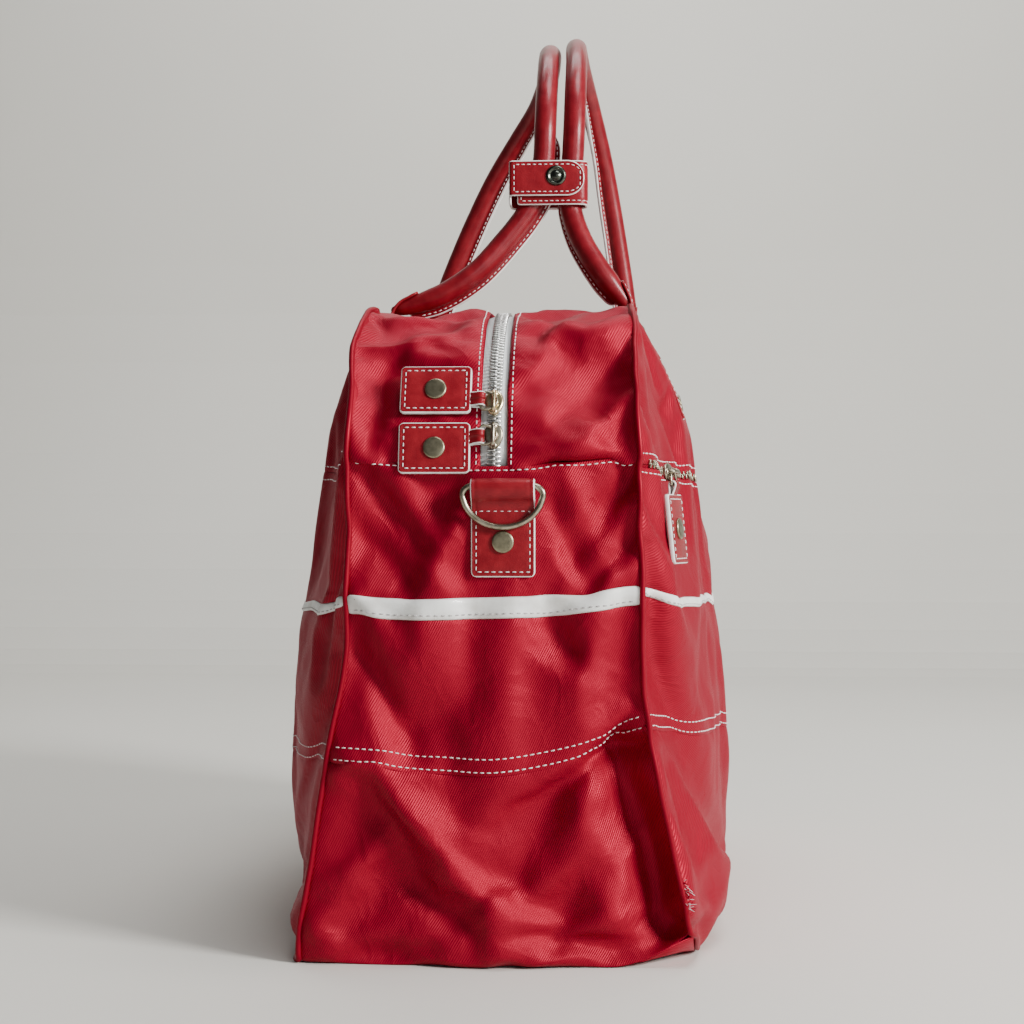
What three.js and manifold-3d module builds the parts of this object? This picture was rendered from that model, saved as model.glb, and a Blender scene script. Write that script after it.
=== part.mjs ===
// A soft travel bag: twill shell on a stiff base, zip top, two rolled leather handles.
// Frame: millimetres, +Z up, origin at the centre of the base. -Y is the near end, +X the pocket side.
import * as THREE from 'three';
import { mergeVertices } from 'three/addons/utils/BufferGeometryUtils.js';
import Module from 'manifold-3d';

const wasm = await Module();
wasm.setup();

// ---- Driving dimensions ----
const HALF_LENGTH = 225;        // centre to the end seam
const WALL_HEIGHT = 249;        // where the end wall turns into the shoulder
const SHOULDER_RADIUS = 86;     // quarter circle from end wall to top
const TOP_Z = WALL_HEIGHT + SHOULDER_RADIUS;
const TOP_HALF_LENGTH = HALF_LENGTH - SHOULDER_RADIUS;
const SHEET = 1.2;              // fabric and lining together
const GAP = 0.35;               // between neighbouring pieces
const SEAM_INSET = 2.3;         // panel edge to the middle of the piping
const PIPING_RADIUS = 1.7;
const BULGE_POWER = 2.5;        // how square the side bulge is along the length

// Heights of the seams that run round the bag
const DOUBLE_SEAM_Z = 98;
const END_BAND_Z = [170, 181];
const SIDE_BAND_Z = [174.8, 181];
const POCKET_ZIP_Z = [244.5, 250.5];

// Zip: half widths from its middle line
const TEETH_HALF = 2.6;
const TAPE_HALF = 8.4;
const TAPE_RECESS = 1.4;

// Leather
const LEATHER = 2.4;
const HANDLE_RADIUS = 6.6;
const HANDLE_SPREAD = 95;       // centre of the bag to each handle leg, along Y
const HANDLE_BASE_X = 62;
const HANDLE_BASE_Z = 341;
const RIVET_RADIUS = 5.5;
const RIVET_HEIGHT = 1.6;

// ---- Body shape ----
// Half thickness against height, at the end seams and at the middle of the length.
const seamProfile = new THREE.SplineCurve(
  [[0, 101], [45, 90], [100, 77], [170, 74], [250, 73], [300, 70], [335, 65]]
    .map(([z, x]) => new THREE.Vector2(z, x)));
const middleProfile = new THREE.SplineCurve(
  [[0, 106], [45, 119], [100, 123], [170, 119], [250, 108], [300, 92], [335, 70]]
    .map(([z, x]) => new THREE.Vector2(z, x)));

// The spline's y where its x is the given value, by halving the interval.
function profileAt(profile, value) {
  let low = 0;
  let high = 1;
  for (let step = 0; step < 30; step++) {
    const middle = (low + high) / 2;
    if (profile.getPoint(middle).x < value) {
      low = middle;
    } else {
      high = middle;
    }
  }
  return profile.getPoint((low + high) / 2).y;
}

const clampHeight = (z) => THREE.MathUtils.clamp(z, 0, TOP_Z);
const seamHalfWidth = (z) => profileAt(seamProfile, clampHeight(z));
const middleHalfWidth = (z) => profileAt(middleProfile, clampHeight(z));
const bulgeShare = (u) => 1 - Math.pow(Math.min(Math.abs(u), 1), BULGE_POWER);

// How far the end seam stands from the middle at a height, less an inset square to the seam.
function endY(z, inset = 0) {
  const radius = SHOULDER_RADIUS - inset;
  const rise = THREE.MathUtils.clamp(z - WALL_HEIGHT, 0, radius);
  return TOP_HALF_LENGTH + Math.sqrt(radius ** 2 - rise ** 2);
}

function sideX(u, z) {
  const seam = seamHalfWidth(z);
  return seam + (middleHalfWidth(z) - seam) * bulgeShare(u);
}

// The strip over the zip: distance s from the near end's shoulder foot, over the top, to the far one.
const ARC_LENGTH = SHOULDER_RADIUS * Math.PI / 2;
const STRIP_LENGTH = 2 * ARC_LENGTH + 2 * TOP_HALF_LENGTH;

function stripPlace(s) {
  const mirrored = s > STRIP_LENGTH / 2;
  const reach = mirrored ? STRIP_LENGTH - s : s;
  let y = -TOP_HALF_LENGTH + (reach - ARC_LENGTH);
  let z = TOP_Z;
  let normalY = 0;
  let normalZ = 1;
  if (reach < ARC_LENGTH) {
    const angle = reach / SHOULDER_RADIUS;
    y = -TOP_HALF_LENGTH - SHOULDER_RADIUS * Math.cos(angle);
    z = WALL_HEIGHT + SHOULDER_RADIUS * Math.sin(angle);
    normalY = -Math.cos(angle);
    normalZ = Math.sin(angle);
  }
  const side = mirrored ? -1 : 1;
  return { y: y * side, z, normalY: normalY * side, normalZ };
}

function stripHalfWidth(place) {
  if (place.z < TOP_Z - 0.01) {
    return seamHalfWidth(place.z);
  }
  return sideX(place.y / TOP_HALF_LENGTH, TOP_Z);
}

// ---- Solid builders ----
function solidFrom(vertices, triangles) {
  let volume = 0;
  for (const [a, b, c] of triangles) {
    const cross = new THREE.Vector3().crossVectors(vertices[b], vertices[c]);
    volume += vertices[a].dot(cross);
  }
  const geometry = new THREE.BufferGeometry().setFromPoints(vertices);
  geometry.setIndex(triangles.flatMap(([a, b, c]) => (volume > 0 ? [a, b, c] : [a, c, b])));
  geometry.computeVertexNormals();
  return geometry;
}

// A sheet of even thickness whose outer face is surface(u, v), with u and v from 0 to 1.
// The faces look along du x dv, and the thickness goes the other way.
function sheetSolid(surface, countU, countV, thickness) {
  const step = 1e-3;
  const vertices = [];
  const inner = [];
  for (let i = 0; i <= countU; i++) {
    for (let j = 0; j <= countV; j++) {
      const u = i / countU;
      const v = j / countV;
      const point = surface(u, v);
      const alongU = surface(u + step, v).sub(surface(u - step, v));
      const alongV = surface(u, v + step).sub(surface(u, v - step));
      const normal = alongU.cross(alongV).normalize();
      vertices.push(point);
      inner.push(point.clone().addScaledVector(normal, -thickness));
    }
  }
  const layer = vertices.length;
  vertices.push(...inner);
  const at = (i, j) => i * (countV + 1) + j;
  const triangles = [];
  const quad = (a, b, c, d) => triangles.push([a, b, c], [a, c, d]);
  for (let i = 0; i < countU; i++) {
    for (let j = 0; j < countV; j++) {
      quad(at(i, j), at(i + 1, j), at(i + 1, j + 1), at(i, j + 1));
      quad(layer + at(i, j), layer + at(i, j + 1), layer + at(i + 1, j + 1), layer + at(i + 1, j));
    }
    quad(at(i, 0), layer + at(i, 0), layer + at(i + 1, 0), at(i + 1, 0));
    quad(at(i + 1, countV), layer + at(i + 1, countV), layer + at(i, countV), at(i, countV));
  }
  for (let j = 0; j < countV; j++) {
    quad(at(0, j + 1), layer + at(0, j + 1), layer + at(0, j), at(0, j));
    quad(at(countU, j), layer + at(countU, j), layer + at(countU, j + 1), at(countU, j + 1));
  }
  return solidFrom(vertices, triangles);
}

// A solid through rings of points that all have the same count, joined end to end or capped.
function loftSolid(rings, closed) {
  const vertices = rings.flat();
  const count = rings[0].length;
  const triangles = [];
  const spans = closed ? rings.length : rings.length - 1;
  for (let i = 0; i < spans; i++) {
    const here = i * count;
    const next = ((i + 1) % rings.length) * count;
    for (let k = 0; k < count; k++) {
      const after = (k + 1) % count;
      triangles.push([here + k, here + after, next + after], [here + k, next + after, next + k]);
    }
  }
  if (!closed) {
    const last = (rings.length - 1) * count;
    for (let k = 1; k < count - 1; k++) {
      triangles.push([0, k + 1, k], [last, last + k, last + k + 1]);
    }
  }
  return solidFrom(vertices, triangles);
}

// A round cord along points; the section's first axis stays square to the reference direction.
function cordSolid(points, radius, sides, closed, reference) {
  const count = points.length;
  const rings = points.map((point, i) => {
    const before = points[closed ? (i + count - 1) % count : Math.max(i - 1, 0)];
    const after = points[closed ? (i + 1) % count : Math.min(i + 1, count - 1)];
    const tangent = after.clone().sub(before).normalize();
    const across = tangent.clone().cross(reference).normalize();
    const other = tangent.clone().cross(across);
    return Array.from({ length: sides }, (_, k) => {
      const angle = 2 * Math.PI * k / sides;
      return point.clone()
        .addScaledVector(across, radius * Math.cos(angle))
        .addScaledVector(other, radius * Math.sin(angle));
    });
  });
  return loftSolid(rings, closed);
}

// A flat plate: the outline, pushed along +Z by the thickness.
function plateSolid(shape, thickness) {
  const options = { depth: thickness, bevelEnabled: false, curveSegments: 4 };
  return new THREE.ExtrudeGeometry(shape, options);
}

function roundedRectangle(left, bottom, right, top, radius) {
  const shape = new THREE.Shape();
  shape.moveTo(left + radius, bottom);
  shape.lineTo(right - radius, bottom);
  shape.absarc(right - radius, bottom + radius, radius, -Math.PI / 2, 0);
  shape.lineTo(right, top - radius);
  shape.absarc(right - radius, top - radius, radius, 0, Math.PI / 2);
  shape.lineTo(left + radius, top);
  shape.absarc(left + radius, top - radius, radius, Math.PI / 2, Math.PI);
  shape.lineTo(left, bottom + radius);
  shape.absarc(left + radius, bottom + radius, radius, Math.PI, 1.5 * Math.PI);
  return shape;
}

function toManifold(geometry) {
  const bare = geometry.clone();
  bare.deleteAttribute('normal');
  bare.deleteAttribute('uv');
  const merged = mergeVertices(bare, 1e-4);
  return new wasm.Manifold(new wasm.Mesh({
    numProp: 3,
    vertProperties: new Float32Array(merged.attributes.position.array),
    triVerts: new Uint32Array(merged.index.array),
  }));
}

function joined(...geometries) {
  const whole = geometries.map(toManifold).reduce((sum, next) => sum.add(next));
  const mesh = whole.getMesh();
  const geometry = new THREE.BufferGeometry();
  geometry.setAttribute('position', new THREE.BufferAttribute(mesh.vertProperties, 3));
  geometry.setIndex(new THREE.BufferAttribute(mesh.triVerts, 1));
  geometry.computeVertexNormals();
  return geometry;
}

// ---- Materials ----
const finish = (color, roughness, metalness) =>
  new THREE.MeshStandardMaterial({ color, roughness, metalness });
const twill = finish(0xb51f30, 0.5, 0);
const leather = finish(0x8f1a22, 0.4, 0);
const whiteTrim = finish(0xe8ece8, 0.5, 0);
const tapeWhite = finish(0xdfe2e0, 0.8, 0);
const nickel = finish(0x8d887c, 0.3, 1);
const board = finish(0x3a3430, 0.8, 0);

const bag = new THREE.Group();

function addPiece(parent, name, geometry, material) {
  const mesh = new THREE.Mesh(geometry, material);
  mesh.name = name;
  parent.add(mesh);
  return mesh;
}

// ---- Fabric panels ----
const SIDES = [['left', -1], ['right', 1]];
const ENDS = [['near', -1], ['far', 1]];
const END_CROWN = 3;            // outward curve of the end walls
const HUMP = 1.2;               // outward curve of the zip panels
const END_FOOT = 1.7;           // the end panels start above the base panel
const PIPING_FOOT = PIPING_RADIUS + 0.4;
const SIDE_FOOT = PIPING_FOOT + SEAM_INSET;

// A point of a side panel's outer face; u runs from -1 at the near seam to 1 at the far seam.
function sideSurface(sign, u, z, lift = 0) {
  const face = (a, b) =>
    new THREE.Vector3(sign * sideX(a, b), a * endY(b, SEAM_INSET), b);
  const point = face(u, z);
  if (lift === 0) {
    return point;
  }
  const step = 0.01;
  const alongY = face(u + step, z).sub(face(u - step, z));
  const alongZ = face(u, z + step).sub(face(u, z - step));
  const normal = alongY.cross(alongZ).multiplyScalar(sign).normalize();
  return point.addScaledVector(normal, lift);
}

// A panel that reaches the shoulder spaces its rows by angle, so its ends follow the arc.
function addSidePanel(name, sign, low, high, material, lift = 0) {
  const share = (v) => (high > WALL_HEIGHT + SEAM_INSET ? Math.sin(v * Math.PI / 2) : v);
  const surface = (u, v) => sideSurface(sign, sign * (2 * u - 1), low + (high - low) * share(v), lift);
  const rows = Math.max(1, Math.round((high - low) / (high > WALL_HEIGHT ? 13 : 22)));
  addPiece(bag, name, sheetSolid(surface, 12, rows, SHEET), material);
}

function addEndPanel(name, end, low, high, material, lift = 0) {
  const surface = (u, v) => {
    const z = low + (high - low) * v;
    const across = (2 * u - 1) * -end;
    const crown = END_CROWN * (1 - across ** 2) + lift;
    return new THREE.Vector3(across * (seamHalfWidth(z) - SEAM_INSET), end * (HALF_LENGTH + crown), z);
  };
  const rows = Math.max(1, Math.round((high - low) / 24));
  addPiece(bag, name, sheetSolid(surface, 6, rows, SHEET), material);
}

for (const [side, sign] of SIDES) {
  const pocketTop = sign > 0 ? POCKET_ZIP_Z[0] - GAP : POCKET_ZIP_Z[0] + 3;
  const upperFoot = sign > 0 ? POCKET_ZIP_Z[1] + GAP : pocketTop + GAP;
  addSidePanel(`side_${side}_lower`, sign, SIDE_FOOT, DOUBLE_SEAM_Z - GAP, twill);
  addSidePanel(`side_${side}_middle`, sign, DOUBLE_SEAM_Z, SIDE_BAND_Z[0] - GAP, twill);
  addSidePanel(`side_${side}_white_band`, sign, ...SIDE_BAND_Z, whiteTrim, 0.3);
  addSidePanel(`side_${side}_pocket`, sign, SIDE_BAND_Z[1] + GAP, pocketTop, twill);
  addSidePanel(`side_${side}_upper`, sign, upperFoot, TOP_Z - SEAM_INSET, twill);
}
for (const [place, end] of ENDS) {
  addEndPanel(`end_${place}_lower`, end, END_FOOT, DOUBLE_SEAM_Z - GAP, twill);
  addEndPanel(`end_${place}_middle`, end, DOUBLE_SEAM_Z, END_BAND_Z[0] - GAP, twill);
  addEndPanel(`end_${place}_white_band`, end, ...END_BAND_Z, whiteTrim, 0.3);
  addEndPanel(`end_${place}_upper`, end, END_BAND_Z[1] + GAP, WALL_HEIGHT - 1, twill);
}

function baseSurface(u, v) {
  const along = 2 * u - 1;
  const halfWidth = sideX(along, 0) - SEAM_INSET;
  return new THREE.Vector3((2 * v - 1) * halfWidth, along * (HALF_LENGTH - SEAM_INSET), 0);
}
addPiece(bag, 'base_panel', sheetSolid(baseSurface, 12, 2, SHEET), twill);

const BOARD_HALF = [90, 212];
const BOARD_THICKNESS = 2.5;
const boardShape = roundedRectangle(-BOARD_HALF[0], -BOARD_HALF[1], BOARD_HALF[0], BOARD_HALF[1], 18);
addPiece(bag, 'base_board', plateSolid(boardShape, BOARD_THICKNESS), board)
  .position.z = SHEET + GAP;

// ---- Zip over the top ----
// A lengthwise strip of the zip opening, from x = low to x = high at each place, lifted off the surface.
function zipStrip(lowX, highX, lift, thickness, columns, rows) {
  const surface = (u, v) => {
    const place = stripPlace(STRIP_LENGTH * v);
    const low = lowX(place);
    const x = low + (highX(place) - low) * u;
    const rise = lift(u);
    return new THREE.Vector3(x, place.y + place.normalY * rise, place.z + place.normalZ * rise);
  };
  return sheetSolid(surface, columns, rows, thickness);
}

const STRIP_ROWS = 24;
const ZIP_FOLD_X = 8.8;
for (const [side, sign] of SIDES) {
  const outer = (place) => stripHalfWidth(place) - SEAM_INSET;
  const bounds = sign < 0
    ? [(place) => -outer(place), () => -ZIP_FOLD_X]
    : [() => ZIP_FOLD_X, outer];
  const humped = (u) => HUMP * Math.sin(Math.PI * THREE.MathUtils.clamp(u, 0, 1));
  addPiece(bag, `zip_top_${side}`, zipStrip(...bounds, humped, SHEET, 4, STRIP_ROWS), twill);

  const tapeEdges = [sign * (TEETH_HALF + GAP), sign * TAPE_HALF].sort((a, b) => a - b);
  const tape = zipStrip(() => tapeEdges[0], () => tapeEdges[1], () => -TAPE_RECESS, 0.8, 1, STRIP_ROWS);
  addPiece(bag, `zip_tape_${side}`, tape, tapeWhite);
}
const teeth = zipStrip(() => -TEETH_HALF, () => TEETH_HALF, () => 0.2, 1.9, 1, STRIP_ROWS);
addPiece(bag, 'zip_teeth', teeth, nickel);

// ---- Piping round each long side ----
function pipingPath(sign) {
  const points = [];
  const wallSteps = 8;
  const stripSteps = 34;
  const baseSteps = 12;
  for (let i = 0; i < wallSteps; i++) {
    const z = PIPING_FOOT + (WALL_HEIGHT - PIPING_FOOT) * i / wallSteps;
    points.push([seamHalfWidth(z), -HALF_LENGTH, z]);
  }
  for (let i = 0; i <= stripSteps; i++) {
    const place = stripPlace(STRIP_LENGTH * i / stripSteps);
    points.push([stripHalfWidth(place), place.y, place.z]);
  }
  for (let i = wallSteps - 1; i >= 0; i--) {
    const z = PIPING_FOOT + (WALL_HEIGHT - PIPING_FOOT) * i / wallSteps;
    points.push([seamHalfWidth(z), HALF_LENGTH, z]);
  }
  for (let i = 1; i < baseSteps; i++) {
    const along = 1 - 2 * i / baseSteps;
    points.push([sideX(along, PIPING_FOOT), along * HALF_LENGTH, PIPING_FOOT]);
  }
  return points.map(([x, y, z]) => new THREE.Vector3(sign * x, y, z));
}
const AXIS_X = new THREE.Vector3(1, 0, 0);
for (const [side, sign] of SIDES) {
  addPiece(bag, `piping_${side}`, cordSolid(pipingPath(sign), PIPING_RADIUS, 6, true, AXIS_X), twill);
}

// ---- Rivets ----
function rivetGeometry(radius) {
  const half = radius * 0.6;
  const profile = [[0, 0], [radius, 0], [radius, 0.7], [half, RIVET_HEIGHT], [0, RIVET_HEIGHT]];
  return new THREE.LatheGeometry(profile.map(([x, y]) => new THREE.Vector2(x, y)), 12);
}

// A rivet whose head looks along the normal, in the parent's frame.
function addRivet(parent, name, point, normal, radius = RIVET_RADIUS) {
  const rivet = addPiece(parent, name, rivetGeometry(radius), nickel);
  rivet.position.copy(point).addScaledVector(normal, GAP);
  rivet.quaternion.setFromUnitVectors(new THREE.Vector3(0, 1, 0), normal);
}

// ---- Handle patches on the sides ----
const PATCH_HALF_WIDTH = 13;
const PATCH_Z = [279, 330];
const PATCH_RIVET_Z = 288;
const PATCH_LIFT = GAP + LEATHER;
for (const [side, sign] of SIDES) {
  for (const [place, end] of ENDS) {
    const name = `handle_patch_${side}_${place}`;
    const at = (y, z) => sideSurface(sign, y / endY(z, SEAM_INSET), z, PATCH_LIFT);
    const surface = (u, v) => {
      const y = end * HANDLE_SPREAD + sign * PATCH_HALF_WIDTH * (2 * u - 1);
      return at(y, PATCH_Z[0] + (PATCH_Z[1] - PATCH_Z[0]) * v);
    };
    addPiece(bag, name, sheetSolid(surface, 3, 6, LEATHER), leather);
    const centre = at(end * HANDLE_SPREAD, PATCH_RIVET_Z);
    const foot = sideSurface(sign, end * HANDLE_SPREAD / endY(PATCH_RIVET_Z, SEAM_INSET), PATCH_RIVET_Z);
    addRivet(bag, `${name}_rivet`, centre, centre.clone().sub(foot).normalize());
  }
}

// ---- Rings ----
// A D of wire in the XZ plane: a straight bar at z = 0, centred on x = 0, and a bow reaching down.
function dRingPath(halfBar, drop, cornerRadius) {
  const points = [];
  for (const x of [-1, -0.5, 0, 0.5, 1]) {
    points.push(new THREE.Vector3(x * (halfBar - cornerRadius), 0, 0));
  }
  const bowSteps = 14;
  for (let i = 0; i <= bowSteps; i++) {
    const angle = Math.PI * i / bowSteps;
    const z = -cornerRadius - (drop - cornerRadius) * Math.sin(angle);
    points.push(new THREE.Vector3(halfBar * Math.cos(angle), 0, z));
  }
  return points;
}
const AXIS_Y = new THREE.Vector3(0, 1, 0);
const dRingSolid = (halfBar, drop, corner, wire, sides) =>
  cordSolid(dRingPath(halfBar, drop, corner), wire, sides, true, AXIS_Y);

// A strip of leather folded round a bar: its profile stands in x (outward) and y (up), with the
// bar's tunnel centred on (loop, 0) and the strip reaching down to y = -length.
function loopProfile(loop, hole, thickness, length) {
  const meet = Math.sqrt(loop ** 2 - (loop - thickness) ** 2);
  const shape = new THREE.Shape();
  shape.moveTo(0, -length);
  shape.lineTo(thickness, -length);
  shape.lineTo(thickness, -meet);
  shape.absarc(loop, 0, loop, Math.atan2(-meet, thickness - loop), Math.PI);
  shape.lineTo(0, -length);
  const tunnel = new THREE.Path();
  tunnel.absarc(loop, 0, hole, 0, 2 * Math.PI, true);
  shape.holes.push(tunnel);
  return shape;
}

// The folded strip in a frame whose -Y looks outward, centred on x = 0.
function foldedStrip(loop, hole, thickness, length, width) {
  const options = { depth: width, bevelEnabled: false, curveSegments: 10 };
  const geometry = new THREE.ExtrudeGeometry(loopProfile(loop, hole, thickness, length), options);
  const turn = new THREE.Matrix4().makeBasis(
    new THREE.Vector3(0, -1, 0), new THREE.Vector3(0, 0, 1), new THREE.Vector3(-1, 0, 0));
  geometry.applyMatrix4(turn);
  geometry.translate(width / 2, 0, 0);
  return geometry;
}

// ---- D-rings on the ends ----
const RING_WIRE = 1.6;
const RING_HALF_BAR = 20;
const RING_DROP = 20;
const RING_Z = 239.5;
const TAB_WIDTH = 32;
const TAB_CENTRE_X = 5;
const TAB_LENGTH = 45;
const TAB_LOOP = 4.2;
const TAB_FACE_Y = HALF_LENGTH + END_CROWN + GAP;
const TAB_RIVET_DROP = 27.5;
for (const [place, end] of ENDS) {
  const frame = new THREE.Group();
  frame.rotation.z = end > 0 ? Math.PI : 0;
  bag.add(frame);
  const strip = foldedStrip(TAB_LOOP, RING_WIRE + 0.5, LEATHER, TAB_LENGTH, TAB_WIDTH);
  addPiece(frame, `ring_tab_${place}`, strip, leather).position.set(TAB_CENTRE_X, -TAB_FACE_Y, RING_Z);
  const ring = dRingSolid(RING_HALF_BAR, RING_DROP, 3, RING_WIRE, 8);
  addPiece(frame, `d_ring_${place}`, ring, nickel)
    .position.set(TAB_CENTRE_X, -TAB_FACE_Y - TAB_LOOP, RING_Z);
  const rivetPoint = new THREE.Vector3(TAB_CENTRE_X, -TAB_FACE_Y - LEATHER, RING_Z - TAB_RIVET_DROP);
  addRivet(frame, `ring_tab_${place}_rivet`, rivetPoint, new THREE.Vector3(0, -1, 0));
}

// ---- Sliders with their links and pulls ----
// Built in a frame on the zip: the zip runs along Z, -Y looks outward, the pull lies towards -X.
const SLIDER_LIFT = 0.6;
const SLIDER_PLATE = 2.2;
const SLIDER_HALF = [4.6, 6.5];
const BAIL_WIRE = 0.9;
const BAIL_LIFT = 6.4;
const LINK_WIRE = 0.75;
const LINK_LIFT = 4.2;
const LINK_BAR_X = -6.6;
const LINK_HALF_BAR = 4.8;
const LINK_REACH = 8.1;
const PULL_SIZE = [36, 26];
const PULL_THICKNESS = 2.6;
const NECK_WIDTH = 5.4;

function sliderSolid() {
  const [halfWidth, halfLength] = SLIDER_HALF;
  const shape = new THREE.Shape();
  shape.moveTo(-halfWidth, halfLength * 0.7);
  shape.lineTo(-halfWidth * 0.7, -halfLength);
  shape.lineTo(halfWidth * 0.7, -halfLength);
  shape.lineTo(halfWidth, halfLength * 0.7);
  shape.lineTo(halfWidth * 0.4, halfLength);
  shape.lineTo(-halfWidth * 0.4, halfLength);
  shape.closePath();
  const plate = plateSolid(shape, SLIDER_PLATE);
  plate.rotateX(Math.PI / 2);
  plate.translate(0, -SLIDER_LIFT, 0);
  const foot = SLIDER_LIFT + SLIDER_PLATE / 2;
  const legZ = 5;
  const bailPoints = [[foot, -legZ], [BAIL_LIFT - 1.2, -legZ], [BAIL_LIFT, -legZ + 1.2],
    [BAIL_LIFT, legZ - 1.2], [BAIL_LIFT - 1.2, legZ], [foot, legZ]];
  const bailPath = bailPoints.map(([lift, z]) => new THREE.Vector3(0, -lift, z));
  return joined(plate, cordSolid(bailPath, BAIL_WIRE, 8, false, AXIS_X));
}

function linkSolid() {
  const ring = dRingSolid(LINK_HALF_BAR, LINK_REACH, 1, LINK_WIRE, 6);
  ring.rotateY(-Math.PI / 2);
  ring.translate(LINK_BAR_X, -LINK_LIFT, 0);
  return ring;
}

function pullSolid(shift) {
  const hole = LINK_WIRE + 0.45;
  const loop = hole + 1.1;
  const neckLength = 7;
  const neck = foldedStrip(loop, hole, PULL_THICKNESS, neckLength, NECK_WIDTH);
  neck.rotateY(Math.PI / 2);
  neck.translate(LINK_BAR_X, -(LINK_LIFT - loop), shift * 0.12);
  const right = LINK_BAR_X - 5;
  const [length, width] = PULL_SIZE;
  const outline = roundedRectangle(right - length, shift - width / 2, right, shift + width / 2, 3);
  const plate = plateSolid(outline, PULL_THICKNESS);
  plate.rotateX(Math.PI / 2);
  plate.translate(0, -(LINK_LIFT - loop), 0);
  return joined(neck, plate);
}

// shift moves the leather along the zip, so that two pulls can lie side by side.
function addPullSet(frame, names, shift) {
  addPiece(frame, names.slider, sliderSolid(), nickel);
  addPiece(frame, names.link, linkSolid(), nickel);
  addPiece(frame, names.pull, pullSolid(shift), leather);
  const faceLift = LINK_LIFT - (LINK_WIRE + 1.55) + PULL_THICKNESS;
  const centre = new THREE.Vector3(LINK_BAR_X - 5 - PULL_SIZE[0] / 2, -faceLift, shift);
  addRivet(frame, names.rivet, centre, new THREE.Vector3(0, -1, 0));
}

const SLIDER_ANGLES = [['upper', 22, 6.5], ['lower', 10.5, -6.5]];
for (const [place, degrees, shift] of SLIDER_ANGLES) {
  const turn = new THREE.Group();
  turn.position.set(0, -TOP_HALF_LENGTH, WALL_HEIGHT);
  turn.rotation.x = -THREE.MathUtils.degToRad(degrees);
  bag.add(turn);
  const frame = new THREE.Group();
  frame.position.y = -SHOULDER_RADIUS;
  turn.add(frame);
  addPullSet(frame, {
    slider: `zip_slider_${place}`,
    link: `zip_link_${place}`,
    pull: `zip_pull_${place}`,
    rivet: `zip_pull_${place}_rivet`,
  }, shift);
}

// ---- Pocket zip on the right side ----
addSidePanel('pocket_zip', 1, ...POCKET_ZIP_Z, tapeWhite);
const POCKET_SLIDER_Y = -186;
const pocketZ = (POCKET_ZIP_Z[0] + POCKET_ZIP_Z[1]) / 2;
const pocketShare = POCKET_SLIDER_Y / endY(pocketZ, SEAM_INSET);
const pocketPoint = sideSurface(1, pocketShare, pocketZ);
const pocketNormal = sideSurface(1, pocketShare, pocketZ, 1).sub(pocketPoint);
const pocketUp = new THREE.Vector3(0, 0, 1).addScaledVector(pocketNormal, -pocketNormal.z).normalize();
const pocketAlong = pocketUp.clone().cross(pocketNormal).normalize();
const pocketFrame = new THREE.Group();
pocketFrame.position.copy(pocketPoint);
pocketFrame.quaternion.setFromRotationMatrix(
  new THREE.Matrix4().makeBasis(pocketAlong, pocketNormal.clone().negate(), pocketUp));
bag.add(pocketFrame);
const pocketTurn = new THREE.Group();
pocketTurn.rotation.y = -Math.PI / 2;
pocketFrame.add(pocketTurn);
addPullSet(pocketTurn, {
  slider: 'pocket_slider',
  link: 'pocket_link',
  pull: 'pocket_pull',
  rivet: 'pocket_pull_rivet',
}, 0);

// ---- Handles ----
// Routes chosen by hand from the near base over the grip to the far base.
const HANDLE_ROUTES = {
  left: [[-66, -95, 343], [-54, -95, 346], [-38, -95, 352], [-20, -94, 364], [-3, -90, 383],
    [9, -88, 399], [15.5, -88, 412], [18.5, -88, 428], [19.5, -88, 448], [20, -80, 468],
    [20, -60, 488], [19.5, -32, 502], [19, 0, 508], [16, 28, 502], [8, 50, 488], [-6, 67, 470],
    [-22, 80, 447], [-42, 90, 408], [-60, 95, 364], [-66, 95, 343]],
  right: [[68, -95, 343], [62, -95, 350], [50, -95, 366], [40, -91, 383], [34.5, -88, 399],
    [33.5, -88, 412], [35, -88, 428], [36, -88, 448], [36.5, -80, 470], [36.5, -60, 490],
    [35.5, -32, 505], [35, 0, 512], [37, 32, 506], [42, 60, 490], [50, 80, 458],
    [58, 90, 414], [65, 95, 368], [68, 95, 343]],
};
const HANDLE_STEPS = 40;
const HANDLE_SIDES = 8;
const END_TAPER = 0.045;        // share of the route over which the roll thins towards its base
for (const [side] of SIDES) {
  const curve = new THREE.CatmullRomCurve3(
    HANDLE_ROUTES[side].map((point) => new THREE.Vector3(...point)), false, 'centripetal');
  const rings = [];
  for (let i = 0; i <= HANDLE_STEPS; i++) {
    const share = i / HANDLE_STEPS;
    const toEnd = Math.min(share, 1 - share) / END_TAPER;
    const radius = HANDLE_RADIUS * THREE.MathUtils.lerp(0.38, 1, Math.min(toEnd, 1));
    const point = curve.getPointAt(share);
    const tangent = curve.getTangentAt(share);
    const across = tangent.clone().cross(AXIS_X).normalize();
    const other = tangent.clone().cross(across);
    rings.push(Array.from({ length: HANDLE_SIDES }, (_, k) => {
      const angle = 2 * Math.PI * k / HANDLE_SIDES;
      return point.clone()
        .addScaledVector(across, radius * Math.cos(angle))
        .addScaledVector(other, radius * Math.sin(angle));
    }));
  }
  addPiece(bag, `handle_${side}`, loftSolid(rings, false), leather);
}

// ---- Keeper round the near legs ----
const KEEPER_Z = [402, 427];
const KEEPER_Y = -88;
const STRAP = 1.5;
const UNDER_HALF = HANDLE_RADIUS + 0.45;
const WRAP_HALF = UNDER_HALF + STRAP + 0.4;
const keeperHeight = KEEPER_Z[1] - KEEPER_Z[0];

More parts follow.
